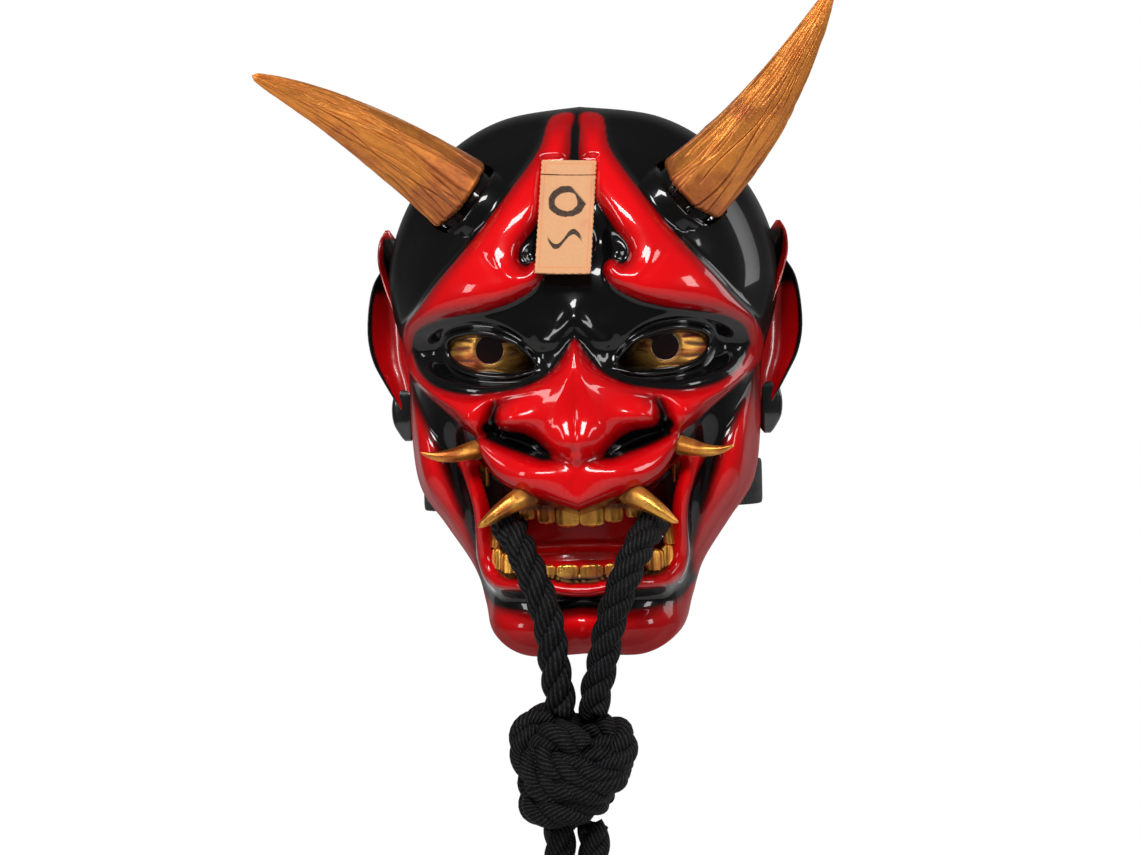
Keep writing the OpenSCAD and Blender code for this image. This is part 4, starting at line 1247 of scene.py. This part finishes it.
def paper_sheet(name, from_up, to_up, free, body, node):
    """Thin sheet: flat across, with ragged edges, a slight wave, and a lower edge that curls when free."""
    rows, cols = 90, 44
    up = np.linspace(from_up, to_up, rows)[:, None]
    t = np.linspace(-1, 1, cols)[None]
    ragged = 0.16 * np.sin(up * 2.3) + 0.12 * np.sin(up * 5.1 + 1) + 0.08 * np.sin(up * 11.0)
    x = t * (slip_w / 2 - 0.15) + ragged * np.abs(t) ** 6 * np.sign(t)
    z = up + 0.12 * np.sin(x * 1.7 + up) * (np.abs(up - from_up) < 0.6)
    bow = -0.25 * (t ** 2) - 0.18 * np.sin(up * 0.22 + 2.0 * t)
    curl = -1.4 * free * np.clip(1 - (up - from_up) / 9.0, 0, 1) ** 2
    y = bow + curl - slip_lift
    front = at_slip(np.stack([x, y - slip_t / 2, z], -1).reshape(-1, 3)).reshape(rows, cols, 3)
    back = at_slip(np.stack([x, y + slip_t / 2, z], -1).reshape(-1, 3)).reshape(rows, cols, 3)
    made = piece(name, [there_and_back(front, back) * mm])
    for label, values in (("across", x), ("up", z)):
        both = there_and_back(values, values)
        store(made, label, both, (both[0].mean(), both[-1].mean()))
    return fitted(made, slip_paint, body, node)


fold_at = slip_reach - tab_h
slip = paper_sheet("paper_slip_sheet", -2.0, fold_at - 0.5, 1.0, "slip", "paper_slip")
tab = paper_sheet("paper_tab_sheet", fold_at, slip_reach, 0.0, "mask", "paper_tab")


# ---------------------------------------------------------------------------------------------------
# Foam pads inside the brow and both cheeks: closed-cell foam, glued to the wall, with crowned faces
# that roll down at their edges.

def wall_place(out, angle, inset):
    """Point on the inside of the wall, a share of the way out at an angle, taken in by inset."""
    right = np.arctan2(np.sin(angle), np.abs(np.cos(angle)))
    flat = out * np.interp(right, rim_angle, rim_reach)
    x, z = flat * np.cos(angle), centre_z + flat * np.sin(angle)
    place = taken_in(x, z, face_relief(x, z) * np.minimum(1, 9 * (1 - rim_share(x, z))), inset)
    place[..., 1] = np.minimum(place[..., 1], -1)
    return place


pad_glued_at, pad_worn_at = 5.2, 11.0
foam = Finish("pad_foam", Roughness=0.9, Specular_IOR_Level=0.15)
cells = foam.noise(foam.place(), 1300.0, 3.0, 0.7)
foam.feeds(Base_Color=foam.mix(cells, (0.012, 0.012, 0.014), (0.05, 0.05, 0.054)),
           Roughness=cells * 0.1 + 0.85, Normal=foam.bump(cells.between(0.35, 0.6), 0.0004, 0.8))


def foam_pad(name, node, outs_from, outs_to, angle_from, angle_to):
    """Crowned pad: thickness = 7 mm * ((1 - s ** 6) * (1 - t ** 6)) ** 0.4 over its two spans."""
    t = np.linspace(-1, 1, 60)[:, None]
    s = np.linspace(-1, 1, 50)[None]
    out = outs_from + (outs_to - outs_from) * (t + 1) / 2 + 0 * s
    angle = angle_from + (angle_to - angle_from) * (s + 1) / 2 + 0 * t
    crown = np.maximum((1 - np.abs(s) ** 6) * (1 - np.abs(t) ** 6), 0) ** 0.4
    glued = wall_place(out, angle, pad_glued_at)
    worn = glued + (wall_place(out, angle, pad_worn_at) - glued) * (0.06 + 1.05 * crown[..., None])
    made = piece(name, [there_and_back(glued, worn) * mm])
    fitted(made, foam.material, "mask", node)


foam_pad("brow_pad_foam", "brow_pad", 0.60, 0.80, math.radians(106), math.radians(74))
foam_pad("right_cheek_pad_foam", "right_cheek_pad", 0.82, 0.945, math.radians(-25), math.radians(6))
foam_pad("left_cheek_pad_foam", "left_cheek_pad", 0.82, 0.945, math.radians(205), math.radians(174))


# ---------------------------------------------------------------------------------------------------
# Head band. Black elastic webbing from a rivet inside each cheek, lapped behind the head and held by
# a moulded slider. The weave runs in ribs across it, and both edges are rolled.

band_w, band_t, band_z, lap_gap = 22, 2, -68, 0.5
band_route = [[58, -34], [58, -14], [61, 6], [80, 34], [80, 72], [66, 102], [42, 115], [30, 116],
              [0, 116], [-40, 116]]
weave = Finish("band_webbing", Roughness=0.8, Specular_IOR_Level=0.25, Sheen_Weight=0.1)
weave_across, weave_along, _ = weave.split(weave.surface())
ribs = (weave_along * (2 * math.pi * 230)).sine() * 0.5 + 0.5
cords = (weave_across * (2 * math.pi * 44) + ribs * 1.2).sine() * 0.5 + 0.5
dust = weave.noise(weave.place(), 240.0, 3.0)
# Painted highlight on the crowns of the ribs and cords, with painted shade between them.
weave.feeds(Base_Color=weave.mix(ribs * cords, (0.004, 0.004, 0.0045), (0.022, 0.022, 0.024)),
            Roughness=dust * 0.2 + 0.65, Normal=weave.bump(ribs * 0.6 + cords * 0.5, 0.0005, 0.9))


def strap(name, node, side, shift):
    """Webbing along the route in plan: a rounded oblong section whose faces swell between the edges."""
    path = even_spacing(smooth_curve(band_route, 12), 1.2)
    path = np.column_stack([path, 0 * path[:, 0] + band_z])
    tangents = np.gradient(path, axis=0)
    tangents /= np.linalg.norm(tangents, axis=1)[:, None]
    out = np.stack([tangents[:, 1], -tangents[:, 0], 0 * tangents[:, 0]], 1)
    a = once_round(64)
    high = squared_off(np.sin(a), 0.22) * band_w / 2
    thick = squared_off(np.cos(a), 0.45) * band_t / 2 * (1 - 0.12 * np.cos(2 * a + np.pi))
    grid = path[:, None] + out[:, None] * (thick[None, :, None] + shift + band_t / 2)
    grid = grid + np.array([0, 0, 1.0]) * high[None, :, None]
    fitted(piece(name, [grid * [side, 1, 1] * mm]), weave.material, "band", node)


strap("right_band_strap", "right_band", 1, 0.0)
strap("left_band_strap", "left_band", -1, band_t + lap_gap)


# ---------------------------------------------------------------------------------------------------
# Fittings kept as they are, in their own finishes: turned beech pegs, nylon sockets, nickel magnets,
# the zinc plated hanger with its screws, black rivets, the moulded slider and the tinted lenses.

def finish_of(names, material):
    """Gives CAD pieces a finish of their own."""
    for name in names:
        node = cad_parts[name]
        node.data.materials.clear()
        node.data.materials.append(material)


def fitting_finish(name, grain, stretch, dark, light, rough, depth, strength, **constants):
    """One noise, at a scale, detail and roughness, shades the colour, the gloss and the surface."""
    finish = Finish(name, **constants)
    where = finish.place()
    pattern = finish.noise(finish.stretched(where, stretch) if stretch else where, *grain)
    finish.feeds(Base_Color=finish.mix(pattern, dark, light), Roughness=pattern * rough[0] + rough[1],
                 Normal=finish.bump(pattern, depth, strength))
    return finish.material


zinc = Finish("hanger_steel", Metallic=1.0)
spangle = zinc.noise(zinc.place(), 140.0, 2.0)
brushed = zinc.noise(zinc.stretched(zinc.place(), (20, 1, 1)), 180.0, 3.0)
zinc.feeds(Base_Color=zinc.mix(spangle, (0.40, 0.41, 0.42), (0.56, 0.57, 0.58)),
           Roughness=brushed * 0.3 + 0.2, Normal=zinc.bump(brushed, 0.0002, 0.3))
finish_of(["left_horn_peg", "right_horn_peg"], fitting_finish(
    "peg_wood", (160.0, 4.0, 0.6), (6, 6, 1), (0.36, 0.20, 0.09), (0.58, 0.37, 0.19), (0.2, 0.5), 0.0003,
    0.4))
finish_of(["left_horn_socket", "right_horn_socket", "band_slider"], fitting_finish(
    "socket_plastic", (700.0, 3.0), None, (0.008, 0.008, 0.009), (0.02, 0.02, 0.022), (0.25, 0.35), 0.0002,
    0.4, Specular_IOR_Level=0.4))
magnets = ["left_socket_magnet", "right_socket_magnet", "left_peg_magnet", "right_peg_magnet"]
finish_of(magnets, fitting_finish(
    "magnet_metal", (500.0, 4.0), None, (0.55, 0.54, 0.52), (0.72, 0.71, 0.69), (0.2, 0.12), 0.0001, 0.2,
    Metallic=1.0))
finish_of(["left_band_rivet", "right_band_rivet"], fitting_finish(
    "rivet_steel", (800.0, 4.0), None, (0.03, 0.03, 0.032), (0.08, 0.08, 0.084), (0.3, 0.3), 0.0002, 0.4,
    Metallic=1.0))
finish_of(["hanger_plate", "hanger_screws"], zinc.material)
finish_of(["left_lens", "right_lens"], tint.material)
